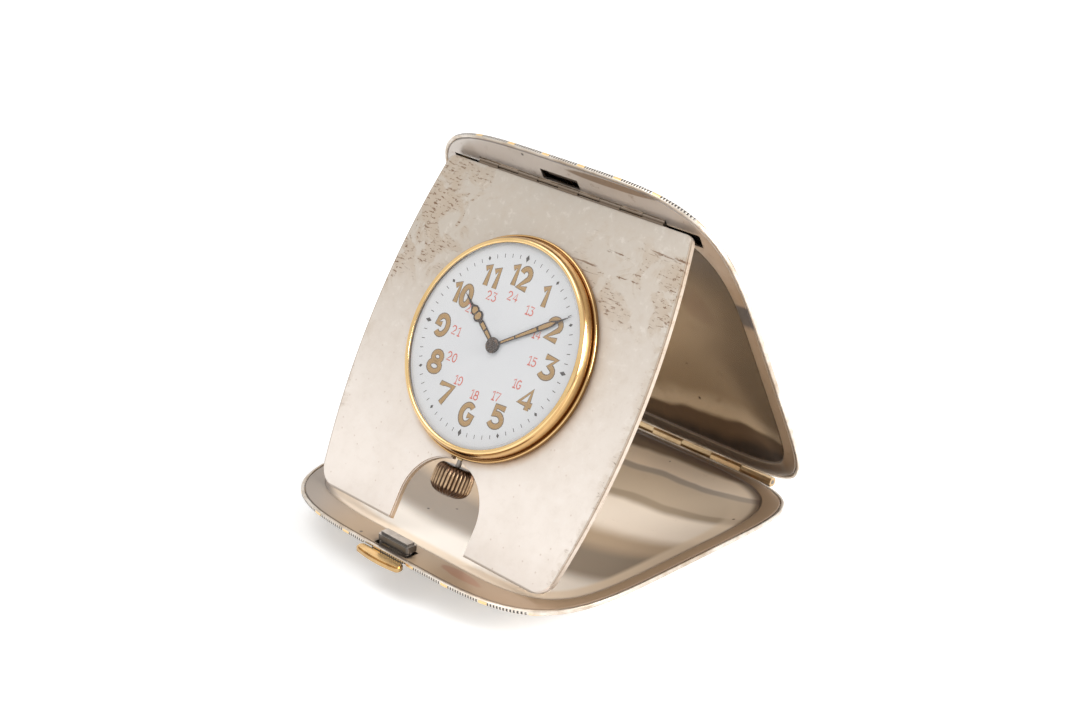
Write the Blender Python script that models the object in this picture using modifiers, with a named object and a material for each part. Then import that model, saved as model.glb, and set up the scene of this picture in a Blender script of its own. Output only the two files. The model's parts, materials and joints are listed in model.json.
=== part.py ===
"""Folding travel clock, standing open: two domed covers, a dial plate and a crown-wound watch movement.

Lengths are metres. The covers are modelled in a hinge frame: X along the rear hinge, -Y to the front,
the rim plane at Z = 0. The dial plate and the watch are modelled in a dial frame: X to the right,
+Y to twelve o'clock, +Z to the viewer, the plate's front face at Z = 0.
"""

import math

import bmesh
import bpy
from mathutils import Matrix, Vector

# Case covers
cover_half_width = 0.0396
cover_rear = 0.0013
cover_front = 0.0851
cover_wall = 0.0006
cover_skin = 0.0006
cover_edge_height = 0.0011
cover_edge_round = 0.0009
cover_depth = 0.0072
cover_lip_round = 0.00015
cover_rear_power = 7.0
cover_front_power = 4.4
dome_power = 2.6

# Linings with their rim strips
strip_thickness = 0.0005
lining_thickness = 0.00035
lining_fit = 0.0001
rear_strip_width = 0.0025
base_side_strip_width = 0.0032
base_front_strip_width = 0.0043
base_opening_rear_power = 8.0
base_opening_front_power = 6.0
back_side_strip_width = 0.0026
back_opening_rear_power = 8.0
back_opening_front_power = 9.0
opening_lip = 0.00012
opening_throat = 0.00015
opening_step = 0.0003
dish_depth = 0.0061

# Standing pose
base_tilt = math.radians(2.0)
foot_setback = 0.0054
foot_depth = 0.0012
rest_flat_cut = 0.0004

# Rear hinge
case_barrel_radius = 0.0011
case_bore_radius = 0.00050
case_pin_radius = 0.00045
case_hinge_half_length = 0.0290
case_knuckles = 7
knuckle_gap = 0.0001
case_leaf_thickness = 0.0005
case_leaf_drop = 0.0021
case_leaf_fit = 0.00025
case_leaf_lap = 0.0007

# Dial plate and its hinge
plate_hinge_setback = 0.0078
plate_hinge_height = 0.0340
plate_axis_depth = 0.00085
plate_thickness = 0.0015
plate_edge_round = 0.00015
plate_side_gap = 0.0036
plate_widest_height = -0.0029
plate_side_radius = 0.165
plate_bottom = -0.0392
plate_top_corner = 0.0020
plate_bottom_corner = 0.0060
plate_barrel_radius = 0.0005
plate_bore_radius = 0.00028
plate_pin_radius = 0.00023
plate_hinge_half_length = 0.0246
plate_knuckles = 9
plate_edge_fit = 0.00035
plate_leaf_lap = 0.00034
strip_edge_fit = 0.0008
arch_radius = 0.0104
arch_height = -0.0341
stem_slot_width = 0.0026

# Catch and push bar
catch_half_width = 0.0042
catch_travel = 0.0009
catch_setback = 0.0006
catch_stem_depth = 0.0015
catch_hook_depth = 0.0029
catch_height = 0.0028
catch_hook_thickness = 0.0009
slide_top = 0.00062
slide_thickness = 0.0005
slide_fit = 0.00010
stop_half_width = 0.0060
stop_depth = 0.0006
bar_half_width = 0.0070
bar_rear_gap = 0.0009
bar_depth = 0.0018
bar_top = 0.0003
bar_height = 0.0022
bar_groove_width = 0.0005
bar_groove_depth = 0.0003
bar_bevel = 0.0003
latch_slot_half_width = 0.0052
latch_slot_depth = 0.0036
latch_slot_gap = 0.0001
latch_slot_offset = -0.0007
spring_half_length = 0.0135
spring_thickness = 0.0002
spring_height = 0.0004
spring_foot = 0.0025
spring_arm_gap = 0.00025

# Watch case
case_hole_radius = 0.0219
band_radius = 0.0216
band_wall = 0.0008
band_front = 0.0001
band_rear = -0.0039
bezel_radius = 0.02307
bezel_front = 0.0035
bezel_widest = 0.0014
bezel_inner_radius = 0.0204
bezel_wall = 0.0006
crystal_fit = 0.0001
crystal_ledge = 0.0030
crystal_edge = 0.00345
crystal_rise = 0.0049
crystal_thickness = 0.0005
crystal_power = 3
case_back_depth = 0.0013
case_back_thickness = 0.0005
dial_front = 0.00265
dial_thickness = 0.0006
dial_fit = 0.00015

# Crown and stem
crown_radius = 0.00415
crown_top = -0.0248
crown_length = 0.0058
crown_flutes = 30
crown_flute_depth = 0.0003
crown_round = 0.0012
stem_depth = 0.00125
stem_radius = 0.0006
stem_tube_radius = 0.0010
running_fit = 0.00006

# Movement
movement_radius = 0.0195
main_plate_rear = 0.0001
main_plate_front = 0.0008
bridge_front = -0.0024
bridge_rear = -0.0035
pillar_radius = 0.0009
pivot_radius = 0.00020
arbor_radius = 0.00042
wheel_thickness = 0.00030
tooth_gap = 0.00006
seat_gap = 0.00010
ring_height = 0.0030
screw_radius = 0.0004
screw_head_height = 0.0003
screw_head_radius = 0.0007
tooth_depth = 0.00025
barrel_radius = 0.0086
barrel_wall = 0.0004
barrel_height = 0.0013
barrel_arbor_radius = 0.0013
spring_turns = 5
spring_strip = 0.0003
centre_wheel_radius = 0.0052
centre_pinion_radius = 0.0015
third_wheel_radius = 0.0044
third_pinion_radius = 0.0008
fourth_wheel_radius = 0.0040
fourth_pinion_radius = 0.0006
escape_wheel_radius = 0.0026
escape_pinion_radius = 0.00055
fork_distance = 0.0038
pallet_span = 0.0016
balance_distance = 0.0048
balance_radius = 0.0043
roller_radius = 0.0009
hairspring_height = 0.00012
hairspring_strip = 0.00010
ratchet_radius = 0.0055
crown_wheel_radius = 0.0036
winding_pinion_radius = 0.0021
winding_pinion_top = 0.0138
winding_pinion_length = 0.0018
stem_inner_end = 0.0126
stem_tube_length = 0.0018
click_reach = 0.0020
click_width = 0.0007
cannon_radius = 0.0013
minute_wheel_radius = 0.0039
hour_wheel_radius = 0.0042
motion_thickness = 0.00028

# Hands
centre_tube_radius = 0.00075
hand_gap = 0.0001
hand_lobe_width = 0.0011
hand_boss = 0.0013
centre_cap_height = 0.0005
centre_post_radius = 0.00045
hour_hand_length = 0.01427
minute_hand_length = 0.01909
hand_thickness = 0.00012
hour_hand_angle = math.radians(303.2)
minute_hand_angle = math.radians(54.5)
centre_cap_radius = 0.00135

# Positions that follow the covers
base_opening_half_width = cover_half_width - base_side_strip_width
base_opening_rear = cover_rear + rear_strip_width
base_opening_front = cover_front - base_front_strip_width
foot_reach = base_opening_front - foot_setback
catch_rear = base_opening_front - catch_setback
plate_hinge_reach = cover_front - plate_hinge_setback
plate_half_width = cover_half_width - plate_side_gap
back_opening_half_width = cover_half_width - back_side_strip_width
back_opening_rear = cover_rear + rear_strip_width
back_opening_front = plate_hinge_reach + plate_barrel_radius + strip_edge_fit
latch_slot_rear = back_opening_front + latch_slot_gap
latch_slot_front = latch_slot_rear + latch_slot_depth

# Teeth
barrel_teeth = 60
centre_teeth = 48
centre_leaves = 10
third_teeth = 45
fourth_teeth = 60
train_leaves = 6
escape_teeth = 15
ratchet_teeth = 36
crown_wheel_teeth = 24
winding_pinion_teeth = 16
cannon_teeth = 12
minute_wheel_teeth = 36
hour_wheel_teeth = 40

# Directions of the pieces in the movement, in degrees from three o'clock
barrel_degrees = 215
third_degrees = 100
fourth_degrees = 13
escape_degrees = -24
fork_degrees = -61
fork_turn_degrees = 29
balance_degrees = -93
crown_wheel_degrees = -41.5
minute_wheel_degrees = -50
click_degrees = 100
click_arc_degrees = (-60, 220)
click_nose_degrees = (-81, -70)
barrel_bridge_degrees = (132, 255)
barrel_pillar_degrees = (140, 180, 247)
train_bridge_degrees = (12, 126)
train_pillar_degrees = (22, 70, 118)
fork_cove_degrees = (235, 300, 0)
cock_degrees = (-52, -2)
cock_pillar_degrees = (-36, -12)
cock_nose_degrees = (30, 100, 170, 240, -50)
hand_boss_degrees = (128, 412)

# Bridge outlines
barrel_bridge_corners = (
    (-0.0028, -0.0170),
    (-0.0028, -0.0133),
    (0.0002, -0.0133),
    (0.0008, -0.0110),
    (0.0017, -0.0065),
    (0.0021, 0.0017),
    (-0.0030, 0.0024),
)
train_bridge_corners = ((-0.0033, 0.0031), (0.0024, 0.0027))
fork_cove_reaches = (0.0012, 0.0012, 0.0030)
cock_nose_reaches = (0.0042, 0.0013, 0.0013, 0.0013, 0.0050)

# Shapes, as shares of a piece's own size
crown_ring_shares = (0.80, 0.90, 1.0, 1.0, 0.88, 0.62)
hand_root_shares = (0.6, 0.8)
hand_lobe_shares = ((0.35, 0.55), (0.30, 0.80), (1.0, 1.0), (0.45, 1.20), (0.80, 1.35))
hand_waist_share = 0.4
hand_tip_shares = (0.2, 0.93)
hour_lobe_share = 0.52
hour_width_share = 1.2
hour_boss_share = 1.15
minute_lobe_share = 0.5
cap_shares = ((0, 1), (0.6, 0.8), (1, 0.2), (1, 0), (0, 0))
leaf_share = 0.8
click_heel_share = 0.9
hairspring_share = 0.62
outline_shares = (0.35, 0.7, 0.9)
crystal_shares = (0, 0.5, 0.8, 0.93, 1)
case_back_shares = (0, 0.5, 0.85)

# Facets
corner_gather = 1.6
ring_quarter_points = 8
round_steps = 36
small_steps = 12
arbor_steps = 8
overrun = 0.001
weld_distance = 0.000001


class Outline:
    """A bowed square seen from above, between a rear and a front edge."""

    def __init__(self, half_width, rear, front, rear_power, front_power):
        self.half_width = half_width
        self.rear = rear
        self.front = front
        self.rear_power = rear_power
        self.front_power = front_power

    def inset(self, distance):
        return Outline(
            self.half_width - distance,
            self.rear + distance,
            self.front - distance,
            self.rear_power,
            self.front_power,
        )

    def scaled(self, share):
        centre = (self.rear + self.front) / 2
        half = (self.front - self.rear) / 2
        return Outline(
            self.half_width * share,
            centre - half * share,
            centre + half * share,
            2 + (self.rear_power - 2) * share**2,
            2 + (self.front_power - 2) * share**2,
        )

    def ring(self, height):
        centre = (self.rear + self.front) / 2
        half = (self.front - self.rear) / 2
        points = []
        for angle in ring_angles():
            across, along = math.cos(angle), math.sin(angle)
            power = self.rear_power if along > 0 else self.front_power
            reach = (abs(across) ** power + abs(along) ** power) ** (-1 / power)
            points.append(Vector((self.half_width * reach * across, half * reach * along - centre, height)))
        return points


def ring_angles():
    """Angles round a ring, closer together at the four corners."""
    angles = []
    for quarter in range(4):
        for step in range(ring_quarter_points):
            share = 2 * step / ring_quarter_points - 1
            bend = math.copysign(abs(share) ** corner_gather, share)
            angles.append(math.pi / 4 * (2 * quarter + 1 + bend))
    return angles


def clear_scene():
    for obj in list(bpy.data.objects):
        bpy.data.objects.remove(obj)
    for old in list(bpy.data.collections):
        bpy.data.collections.remove(old)


def new_collection(name):
    made = bpy.data.collections.new(name)
    bpy.context.scene.collection.children.link(made)
    return made


def metal(name, colour, roughness, metallic=1.0, alpha=1.0):
    made = bpy.data.materials.new(name)
    made.use_nodes = True
    shader = made.node_tree.nodes["Principled BSDF"]
    shader.inputs["Base Color"].default_value = (*colour, 1.0)
    shader.inputs["Roughness"].default_value = roughness
    shader.inputs["Metallic"].default_value = metallic
    shader.inputs["Alpha"].default_value = alpha
    return made


def empty(name, parent=None, matrix=Matrix.Identity(4)):
    made = bpy.data.objects.new(name, None)
    parts.objects.link(made)
    made.parent = parent
    made.matrix_local = matrix
    return made


def place(name, mesh, finish, parent, matrix=Matrix.Identity(4)):
    """A named piece of the clock, parented to its frame."""
    made = bpy.data.objects.new(name, mesh)
    parts.objects.link(made)
    mesh.materials.clear()
    mesh.materials.append(finish)
    mesh.shade_smooth()
    mesh.set_sharp_from_angle(angle=math.radians(30))
    made.parent = parent
    made.matrix_local = matrix
    return made


def cut(target, mesh, matrix=Matrix.Identity(4), operation="DIFFERENCE"):
    """Cuts a mesh out of a piece, or joins it on; the tool lies in the piece's own frame."""
    tool = bpy.data.objects.new(target.name + "_tool", mesh)
    cutters.objects.link(tool)
    tool.parent = target
    tool.matrix_local = matrix
    tool.hide_render = True
    tool.display_type = "WIRE"
    step = target.modifiers.new(operation.lower(), "BOOLEAN")
    step.operation = operation
    step.solver = "EXACT"
    step.object = tool


def mesh_from(build, name):
    made = bpy.data.meshes.new(name)
    bmesh.ops.recalc_face_normals(build, faces=build.faces)
    build.to_mesh(made)
    build.free()
    return made


def loft(name, rings):
    """A closed solid through rings of equal counts, capped at both ends."""
    build = bmesh.new()
    rows = [[build.verts.new(point) for point in ring] for ring in rings]
    for low, high in zip(rows, rows[1:]):
        for index in range(len(low)):
            after = (index + 1) % len(low)
            build.faces.new((low[index], low[after], high[after], high[index]))
    build.faces.new(rows[0])
    build.faces.new(rows[-1])
    return mesh_from(build, name)


def box(name, low, high):
    build = bmesh.new()
    bmesh.ops.create_cube(build, size=1.0)
    low, high = Vector(low), Vector(high)
    for vert in build.verts:
        vert.co = (low + high) / 2 + Vector(a * b for a, b in zip(vert.co, high - low))
    return mesh_from(build, name)


def rod(name, radius, low, high, steps=small_steps):
    build = bmesh.new()
    bmesh.ops.create_cone(
        build, cap_ends=True, segments=steps, radius1=radius, radius2=radius, depth=high - low
    )
    bmesh.ops.translate(build, vec=(0, 0, (low + high) / 2), verts=build.verts)
    return mesh_from(build, name)


def flat(name, outlines, low, high, bevel=0.0):
    """A flat solid between two heights; the outlines after the first are its holes."""
    shape = bpy.data.curves.new(name, "CURVE")
    shape.dimensions = "2D"
    shape.fill_mode = "BOTH"
    shape.extrude = (high - low) / 2 - bevel
    shape.bevel_depth = bevel
    shape.bevel_resolution = 0
    shape.offset = -bevel
    for outline in outlines:
        line = shape.splines.new("POLY")
        line.points.add(len(outline) - 1)
        for point, (across, along) in zip(line.points, outline):
            point.co = (across, along, 0, 1)
        line.use_cyclic_u = True
    guide = bpy.data.objects.new(name, shape)
    cutters.objects.link(guide)
    guide.location.z = (low + high) / 2
    bpy.context.view_layer.update()
    found = guide.evaluated_get(bpy.context.evaluated_depsgraph_get())
    made = bpy.data.meshes.new_from_object(found)
    made.transform(guide.matrix_world)
    bpy.data.objects.remove(guide)
    build = bmesh.new()
    build.from_mesh(made)
    bmesh.ops.remove_doubles(build, verts=build.verts, dist=weld_distance)
    bpy.data.meshes.remove(made)
    return mesh_from(build, name)


def turned(name, profile, finish, parent, matrix=Matrix.Identity(4), steps=round_steps, closed=False):
    """A turned piece about Z; the profile runs down its outer side."""
    mesh = bpy.data.meshes.new(name)
    points = [(radius, 0, height) for radius, height in profile]
    edges = [(index, index + 1) for index in range(len(points) - 1)]
    if closed:
        edges.append((len(points) - 1, 0))
    mesh.from_pydata(points, edges, [])
    mesh.materials.append(finish)
    made = bpy.data.objects.new(name, mesh)
    parts.objects.link(made)
    made.parent = parent
    made.matrix_local = matrix
    spin = made.modifiers.new("turn", "SCREW")
    spin.steps = steps
    spin.render_steps = steps
    spin.use_merge_vertices = True
    spin.merge_threshold = weld_distance
    spin.use_smooth_shade = True
    return made


def turned_mesh(name, profile, steps=arbor_steps, closed=False):
    """The same as a mesh, for joining or cutting."""
    guide = turned(name, profile, metals["steel"], None, steps=steps, closed=closed)
    bpy.context.view_layer.update()
    found = guide.evaluated_get(bpy.context.evaluated_depsgraph_get())
    made = bpy.data.meshes.new_from_object(found)
    bpy.data.objects.remove(guide)
    build = bmesh.new()
    build.from_mesh(made)
    bmesh.ops.remove_doubles(build, verts=build.verts, dist=weld_distance)
    bpy.data.meshes.remove(made)
    return mesh_from(build, name)


def gathered(name, meshes):
    """Several separate solids as one mesh."""
    build = bmesh.new()
    for mesh in meshes:
        build.from_mesh(mesh)
    return mesh_from(build, name)


def moved(mesh, matrix):
    mesh.transform(matrix)
    return mesh


def arc(centre, radius, start, end, steps):
    """Points along an arc, both ends included; angles in radians."""
    return [
        (
            centre[0] + radius * math.cos(start + (end - start) * step / steps),
            centre[1] + radius * math.sin(start + (end - start) * step / steps),
        )
        for step in range(steps + 1)
    ]


def circle(radius, steps=small_steps, centre=(0, 0)):
    return arc(centre, radius, 0, 2 * math.pi * (steps - 1) / steps, steps - 1)


def along_x():
    """Turns a piece drawn in the Y-Z plane, with its height along Z, to lie along X."""
    return Matrix(((0, 0, 1, 0), (1, 0, 0, 0), (0, 1, 0, 0), (0, 0, 0, 1)))


# Covers


cover_outline = Outline(cover_half_width, cover_rear, cover_front, cover_rear_power, cover_front_power)
shoulder_outline = cover_outline.inset(cover_edge_round)
shoulder_depth = cover_edge_height + cover_edge_round
base_opening = Outline(
    base_opening_half_width,
    base_opening_rear,
    base_opening_front,
    base_opening_rear_power,
    base_opening_front_power,
)
back_opening = Outline(
    back_opening_half_width,
    back_opening_rear,
    back_opening_front,
    back_opening_rear_power,
    back_opening_front_power,
)


def dome(share):
    """Depth of a cover's outer face below the rim, from its middle (0) to its shoulder (1)."""
    return shoulder_depth + (cover_depth - shoulder_depth) * (1 - share**dome_power)


def dish(share):
    """Depth of the lining, from its middle (0) to the foot of the opening's wall (1)."""
    edge = opening_throat + opening_step
    return edge + (dish_depth - edge) * (1 - share**dome_power)


def shell_rings(side):
    inner = cover_outline.inset(cover_wall)
    rings = []
    for share in outline_shares:
        rings.append(shoulder_outline.inset(cover_wall).scaled(share).ring(side * (dome(share) - cover_skin)))
    rings.append(inner.inset(cover_edge_round).ring(side * (shoulder_depth - cover_skin)))
    rings.append(inner.ring(side * (cover_edge_height - cover_wall / 2)))
    rings.append(inner.ring(side * cover_lip_round))
    rings.append(cover_outline.inset(cover_wall / 2).ring(0))
    rings.append(cover_outline.ring(side * cover_lip_round))
    rings.append(cover_outline.ring(side * cover_edge_height))
    bend = math.sqrt(2) / 2
    inset = cover_edge_round * (1 - bend)
    rings.append(cover_outline.inset(inset).ring(side * (cover_edge_height + cover_edge_round * bend)))
    rings.append(shoulder_outline.ring(side * shoulder_depth))
    for share in reversed(outline_shares):
        rings.append(shoulder_outline.scaled(share).ring(side * dome(share)))
    return rings


def lining_rings(opening, side):
    floor = opening.inset(opening_step)
    under = opening.inset(opening_step - lining_thickness)
    strip = cover_outline.inset(cover_wall + lining_fit)
    rings = [floor.scaled(share).ring(side * dish(share)) for share in outline_shares]
    rings.append(floor.ring(side * dish(1)))
    rings.append(opening.inset(opening_throat).ring(side * opening_step))
    rings.append(opening.inset(opening_lip).ring(side * opening_lip))
    rings.append(opening.inset(-opening_lip).ring(0))
    rings.append(strip.inset(cover_lip_round).ring(0))
    rings.append(strip.ring(side * cover_lip_round))
    rings.append(strip.ring(side * strip_thickness))
    rings.append(opening.inset(-lining_thickness).ring(side * strip_thickness))
    rings.append(under.ring(side * (dish(1) + lining_thickness / 2)))
    for share in reversed(outline_shares):
        rings.append(under.scaled(share).ring(side * (dish(share) + lining_thickness)))
    return rings


def rest_point():
    """The point of the base's dome that is level when the base is tilted, and the depth of the flat there."""
    half = (shoulder_outline.front - shoulder_outline.rear) / 2
    steepness = dome_power * (cover_depth - shoulder_depth) / half
    share = (math.tan(base_tilt) / steepness) ** (1 / (dome_power - 1))
    centre = (shoulder_outline.front + shoulder_outline.rear) / 2
    return centre - half * share, dome(share) - rest_flat_cut


def standing_angles():
    """The case's opening angle and the plate's angle from the back cover, from the triangle's three sides."""
    cover_side = plate_hinge_reach
    plate_side = math.hypot(plate_hinge_height - plate_bottom, plate_axis_depth)
    floor_side = math.hypot(foot_reach, foot_depth)
    opening = math.acos((cover_side**2 + floor_side**2 - plate_side**2) / (2 * cover_side * floor_side))
    opening += math.atan2(foot_depth, foot_reach)
    apex = math.acos((cover_side**2 + plate_side**2 - floor_side**2) / (2 * cover_side * plate_side))
    apex -= math.atan2(plate_axis_depth, plate_hinge_height - plate_bottom)
    return opening, apex


def knuckle_spans(half_length, count, first):
    """Ends of every second knuckle along a hinge, with running gaps."""
    pitch = 2 * half_length / count
    spans = []
    for index in range(first, count, 2):
        low = -half_length + index * pitch + knuckle_gap / 2
        spans.append((low, low + pitch - knuckle_gap))
    return spans


def knuckle_group(name, parent, sizes, half_length, count, first, leaf, leaf_turn, axis=(0, 0)):
    """Half of a hinge's knuckles about an axis along X, on a leaf with a tongue to each knuckle."""
    radius, bore = sizes
    (far, near, lap), (low, high) = leaf
    at_axis = Matrix.Translation((0, *axis))
    middle, inset = (far + near) / 2, knuckle_gap / 4
    strip = box(name, (-half_length, min(far, near), low), (half_length, max(far, near), high))
    group = place(name, moved(strip, at_axis @ leaf_turn), metals["hinge"], parent)
    for start, end in knuckle_spans(half_length, count, first):
        tube = [circle(radius, round_steps // 4), circle(bore, arbor_steps)]
        barrel = flat(name + "_barrel", tube, start, end)
        cut(group, moved(barrel, at_axis @ along_x()), operation="UNION")
        left, right = start + knuckle_gap, end - knuckle_gap
        tongue = box(
            name + "_tongue",
            (left, min(middle, lap), low + inset),
            (right, max(middle, lap), high - inset),
        )
        cut(group, moved(tongue, at_axis @ leaf_turn), operation="UNION")
    return group


def case_knuckles_on(name, first, side, parent):
    """Rear hinge knuckles; the leaf lies against the cover's rear wall."""
    leaf_front = cover_rear - case_leaf_fit
    reaches = (case_leaf_drop, case_barrel_radius + knuckle_gap, case_leaf_lap)
    leaf = (reaches, (leaf_front - case_leaf_thickness, leaf_front))
    upright = Matrix(((side, 0, 0, 0), (0, 0, -1, 0), (0, side, 0, 0), (0, 0, 0, 1)))
    sizes = (case_barrel_radius, case_bore_radius)
    return knuckle_group(
        name, parent, sizes, case_hinge_half_length, case_knuckles, first, leaf, upright
    )


def plate_knuckles_on(name, first, far, thickness, parent, axis):
    """Plate hinge knuckles; the leaf lies against the edge of the strip or of the plate."""
    near = -(plate_barrel_radius + knuckle_gap)
    leaf = ((-far, near, -plate_leaf_lap), thickness)
    sizes = (plate_barrel_radius, plate_bore_radius)
    flat_turn = Matrix.Identity(4)
    return knuckle_group(
        name, parent, sizes, plate_hinge_half_length, plate_knuckles, first, leaf, flat_turn, axis
    )


def make_cover(name, opening, side, parent):
    shell = place(name + "_shell", loft(name + "_shell", shell_rings(side)), metals["engraved"], parent)
    mesh = loft(name + "_liner", lining_rings(opening, side))
    lining = place(name + "_liner", mesh, metals["lining"], parent)
    return shell, lining


def make_base(parent):
    shell, lining = make_cover("base", base_opening, -1, parent)
    rest_at, rest_depth = rest_point()
    level = Matrix.Translation((0, -rest_at, -rest_depth)) @ Matrix.Rotation(base_tilt, 4, "X")
    reach = cover_half_width
    cut(shell, box("rest_flat", (-reach, -reach, -cover_depth), (reach, reach, 0)), level)
    slide_low = slide_top + slide_thickness + slide_fit
    half = catch_half_width + slide_fit
    slot_front = cover_front + overrun
    slot_rear = cover_front - cover_wall - cover_edge_round
    cut(
        shell,
        box("slide_slot", (-half, -slot_front, -slide_low), (half, -slot_rear, -slide_top + slide_fit)),
    )
    rear = catch_rear - catch_travel - slide_fit
    front = catch_rear + catch_stem_depth + slide_fit
    cut(lining, box("catch_window", (-half, -front, -slide_low - overrun), (half, -rear, overrun)))
    case_knuckles_on("base_knuckles", 0, -1, parent)
    pin = rod("case_hinge_pin", case_pin_radius, -case_hinge_half_length, case_hinge_half_length)
    place("case_hinge_pin", moved(pin, along_x()), metals["steel"], parent)


def make_back(parent):
    lining = make_cover("back", back_opening, 1, parent)[1]
    low, high = latch_slot_offset - latch_slot_half_width, latch_slot_offset + latch_slot_half_width
    cut(lining, box("latch_slot", (low, -latch_slot_front, -overrun), (high, -latch_slot_rear, overrun)))
    case_knuckles_on("back_knuckles", 1, 1, parent)
    far = plate_barrel_radius + strip_edge_fit / 3
    thickness = (strip_thickness / 5, strip_thickness / 2)
    plate_knuckles_on("cover_plate_knuckles", 1, far, thickness, parent, (-plate_hinge_reach, 0))


def make_catch(parent):
    """The slide through the front wall, the hook that stands up in the strip, and the bar outside."""
    low, high = -slide_top - slide_thickness, -slide_top
    front = cover_front + bar_rear_gap
    slide_mesh = box("catch_slide", (-catch_half_width, -front, low), (catch_half_width, -catch_rear, high))
    slide = place("catch_slide", slide_mesh, metals["steel"], parent)
    lap = slide_thickness / 5
    stem_front = catch_rear + catch_stem_depth
    hook_low = catch_height - catch_hook_thickness
    inner = catch_half_width - lap
    stem = box("catch_stem", (-inner, -stem_front, low + lap), (inner, -catch_rear - lap, hook_low + lap))
    cut(slide, stem, operation="UNION")
    hook = [
        (-catch_rear, hook_low),
        (-catch_rear, catch_height - bar_bevel),
        (-catch_rear - bar_bevel, catch_height),
        (-catch_rear - catch_hook_depth + 2 * bar_bevel, catch_height),
        (-catch_rear - catch_hook_depth, catch_height - 2 * bar_bevel),
        (-catch_rear - catch_hook_depth, hook_low),
    ]
    cut(slide, moved(flat("hook", [hook], -catch_half_width, catch_half_width), along_x()), operation="UNION")
    stop_front = cover_front - cover_wall - cover_edge_round - slide_fit
    ears = box(
        "stop_ears",
        (-stop_half_width, -stop_front, low + lap / 2),
        (stop_half_width, -stop_front + stop_depth, high - lap / 2),
    )
    cut(slide, ears, operation="UNION")
    rear = front + slide_fit
    bar_front = front + bar_depth
    middle = -bar_top - bar_height / 2
    outline = [
        (-rear, -bar_top - bar_height),
        (-rear, -bar_top),
        (-bar_front + bar_bevel, -bar_top),
        (-bar_front, -bar_top - bar_bevel),
        (-bar_front, middle + bar_groove_width / 2),
        (-bar_front + bar_groove_depth, middle),
        (-bar_front, middle - bar_groove_width / 2),
        (-bar_front, -bar_top - bar_height + bar_bevel),
        (-bar_front + bar_bevel, -bar_top - bar_height),
    ]
    bar = moved(flat("push_bar", [outline], -bar_half_width, bar_half_width), along_x())
    place("push_bar", bar, metals["gold"], parent)


def make_catch_spring(parent):
    """Two leaf arms in the hollow of the rim, one on each side of the slide."""
    front = cover_front - cover_wall - cover_edge_round - 2 * slide_fit
    step = spring_thickness
    low, high = -slide_top - spring_height, -slide_top
    for word, side in (("left", -1), ("right", 1)):
        inner = side * (stop_half_width + spring_arm_gap)
        outer = side * spring_half_length
        foot = outer - side * spring_foot
        bend = -front + 6 * step
        outline = [
            (inner, bend - 3 * step),
            (foot, bend - step),
            (outer, bend - step),
            (outer, bend),
            (foot, bend),
            (inner, bend - 2 * step),
        ]
        name = "catch_spring_" + word
        place(name, flat(name, [outline], low, high), metals["steel"], parent)


# Dial plate


def side_corner(radius, height):
    """Centre of a corner arc that is tangent to the plate's bowed side, and the angle where they meet."""
    big = plate_half_width - plate_side_radius
    reach = plate_side_radius - radius
    rise = height - plate_widest_height
    across = math.sqrt(reach**2 - rise**2)
    return (big + across, height), math.atan2(rise, across)


def plate_outline():
    """The plate's edge from the top round the right side, with the arch, slot and case hole, and back."""
    top = plate_hinge_height - plate_barrel_radius - plate_edge_fit
    upper, upper_angle = side_corner(plate_top_corner, top - plate_top_corner)
    lower, lower_angle = side_corner(plate_bottom_corner, plate_bottom + plate_bottom_corner)
    big = (plate_half_width - plate_side_radius, plate_widest_height)
    right = arc(upper, plate_top_corner, math.pi / 2, upper_angle, 4)
    right += arc(big, plate_side_radius, upper_angle, lower_angle, 12)[1:-1]
    right += arc(lower, plate_bottom_corner, lower_angle, -math.pi / 2, 6)
    slot = stem_slot_width / 2
    inside = [(arch_radius, plate_bottom)]
    inside += arc((0, arch_height), arch_radius, 0, math.acos(slot / arch_radius), 12)
    inside += arc((0, 0), case_hole_radius, -math.acos(slot / case_hole_radius), math.pi / 2, 22)
    half = right + inside
    return half + [(-across, along) for across, along in reversed(half[:-1])]


def make_plate(parent):
    outline = plate_outline()
    plate = flat("dial_plate", [outline], -plate_thickness, 0, plate_edge_round)
    place("dial_plate", plate, metals["plate"], parent)
    half = plate_barrel_radius * leaf_share
    far = plate_barrel_radius + plate_edge_fit * leaf_share
    axis = (plate_hinge_height, -plate_axis_depth)
    plate_knuckles_on("plate_knuckles", 0, far, (-half, half), parent, axis)
    pin = rod("plate_hinge_pin", plate_pin_radius, -plate_hinge_half_length, plate_hinge_half_length)
    axis = Matrix.Translation((0, plate_hinge_height, -plate_axis_depth))
    place("plate_hinge_pin", moved(pin, axis @ along_x()), metals["steel"], parent)


# Watch case and dial


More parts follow.
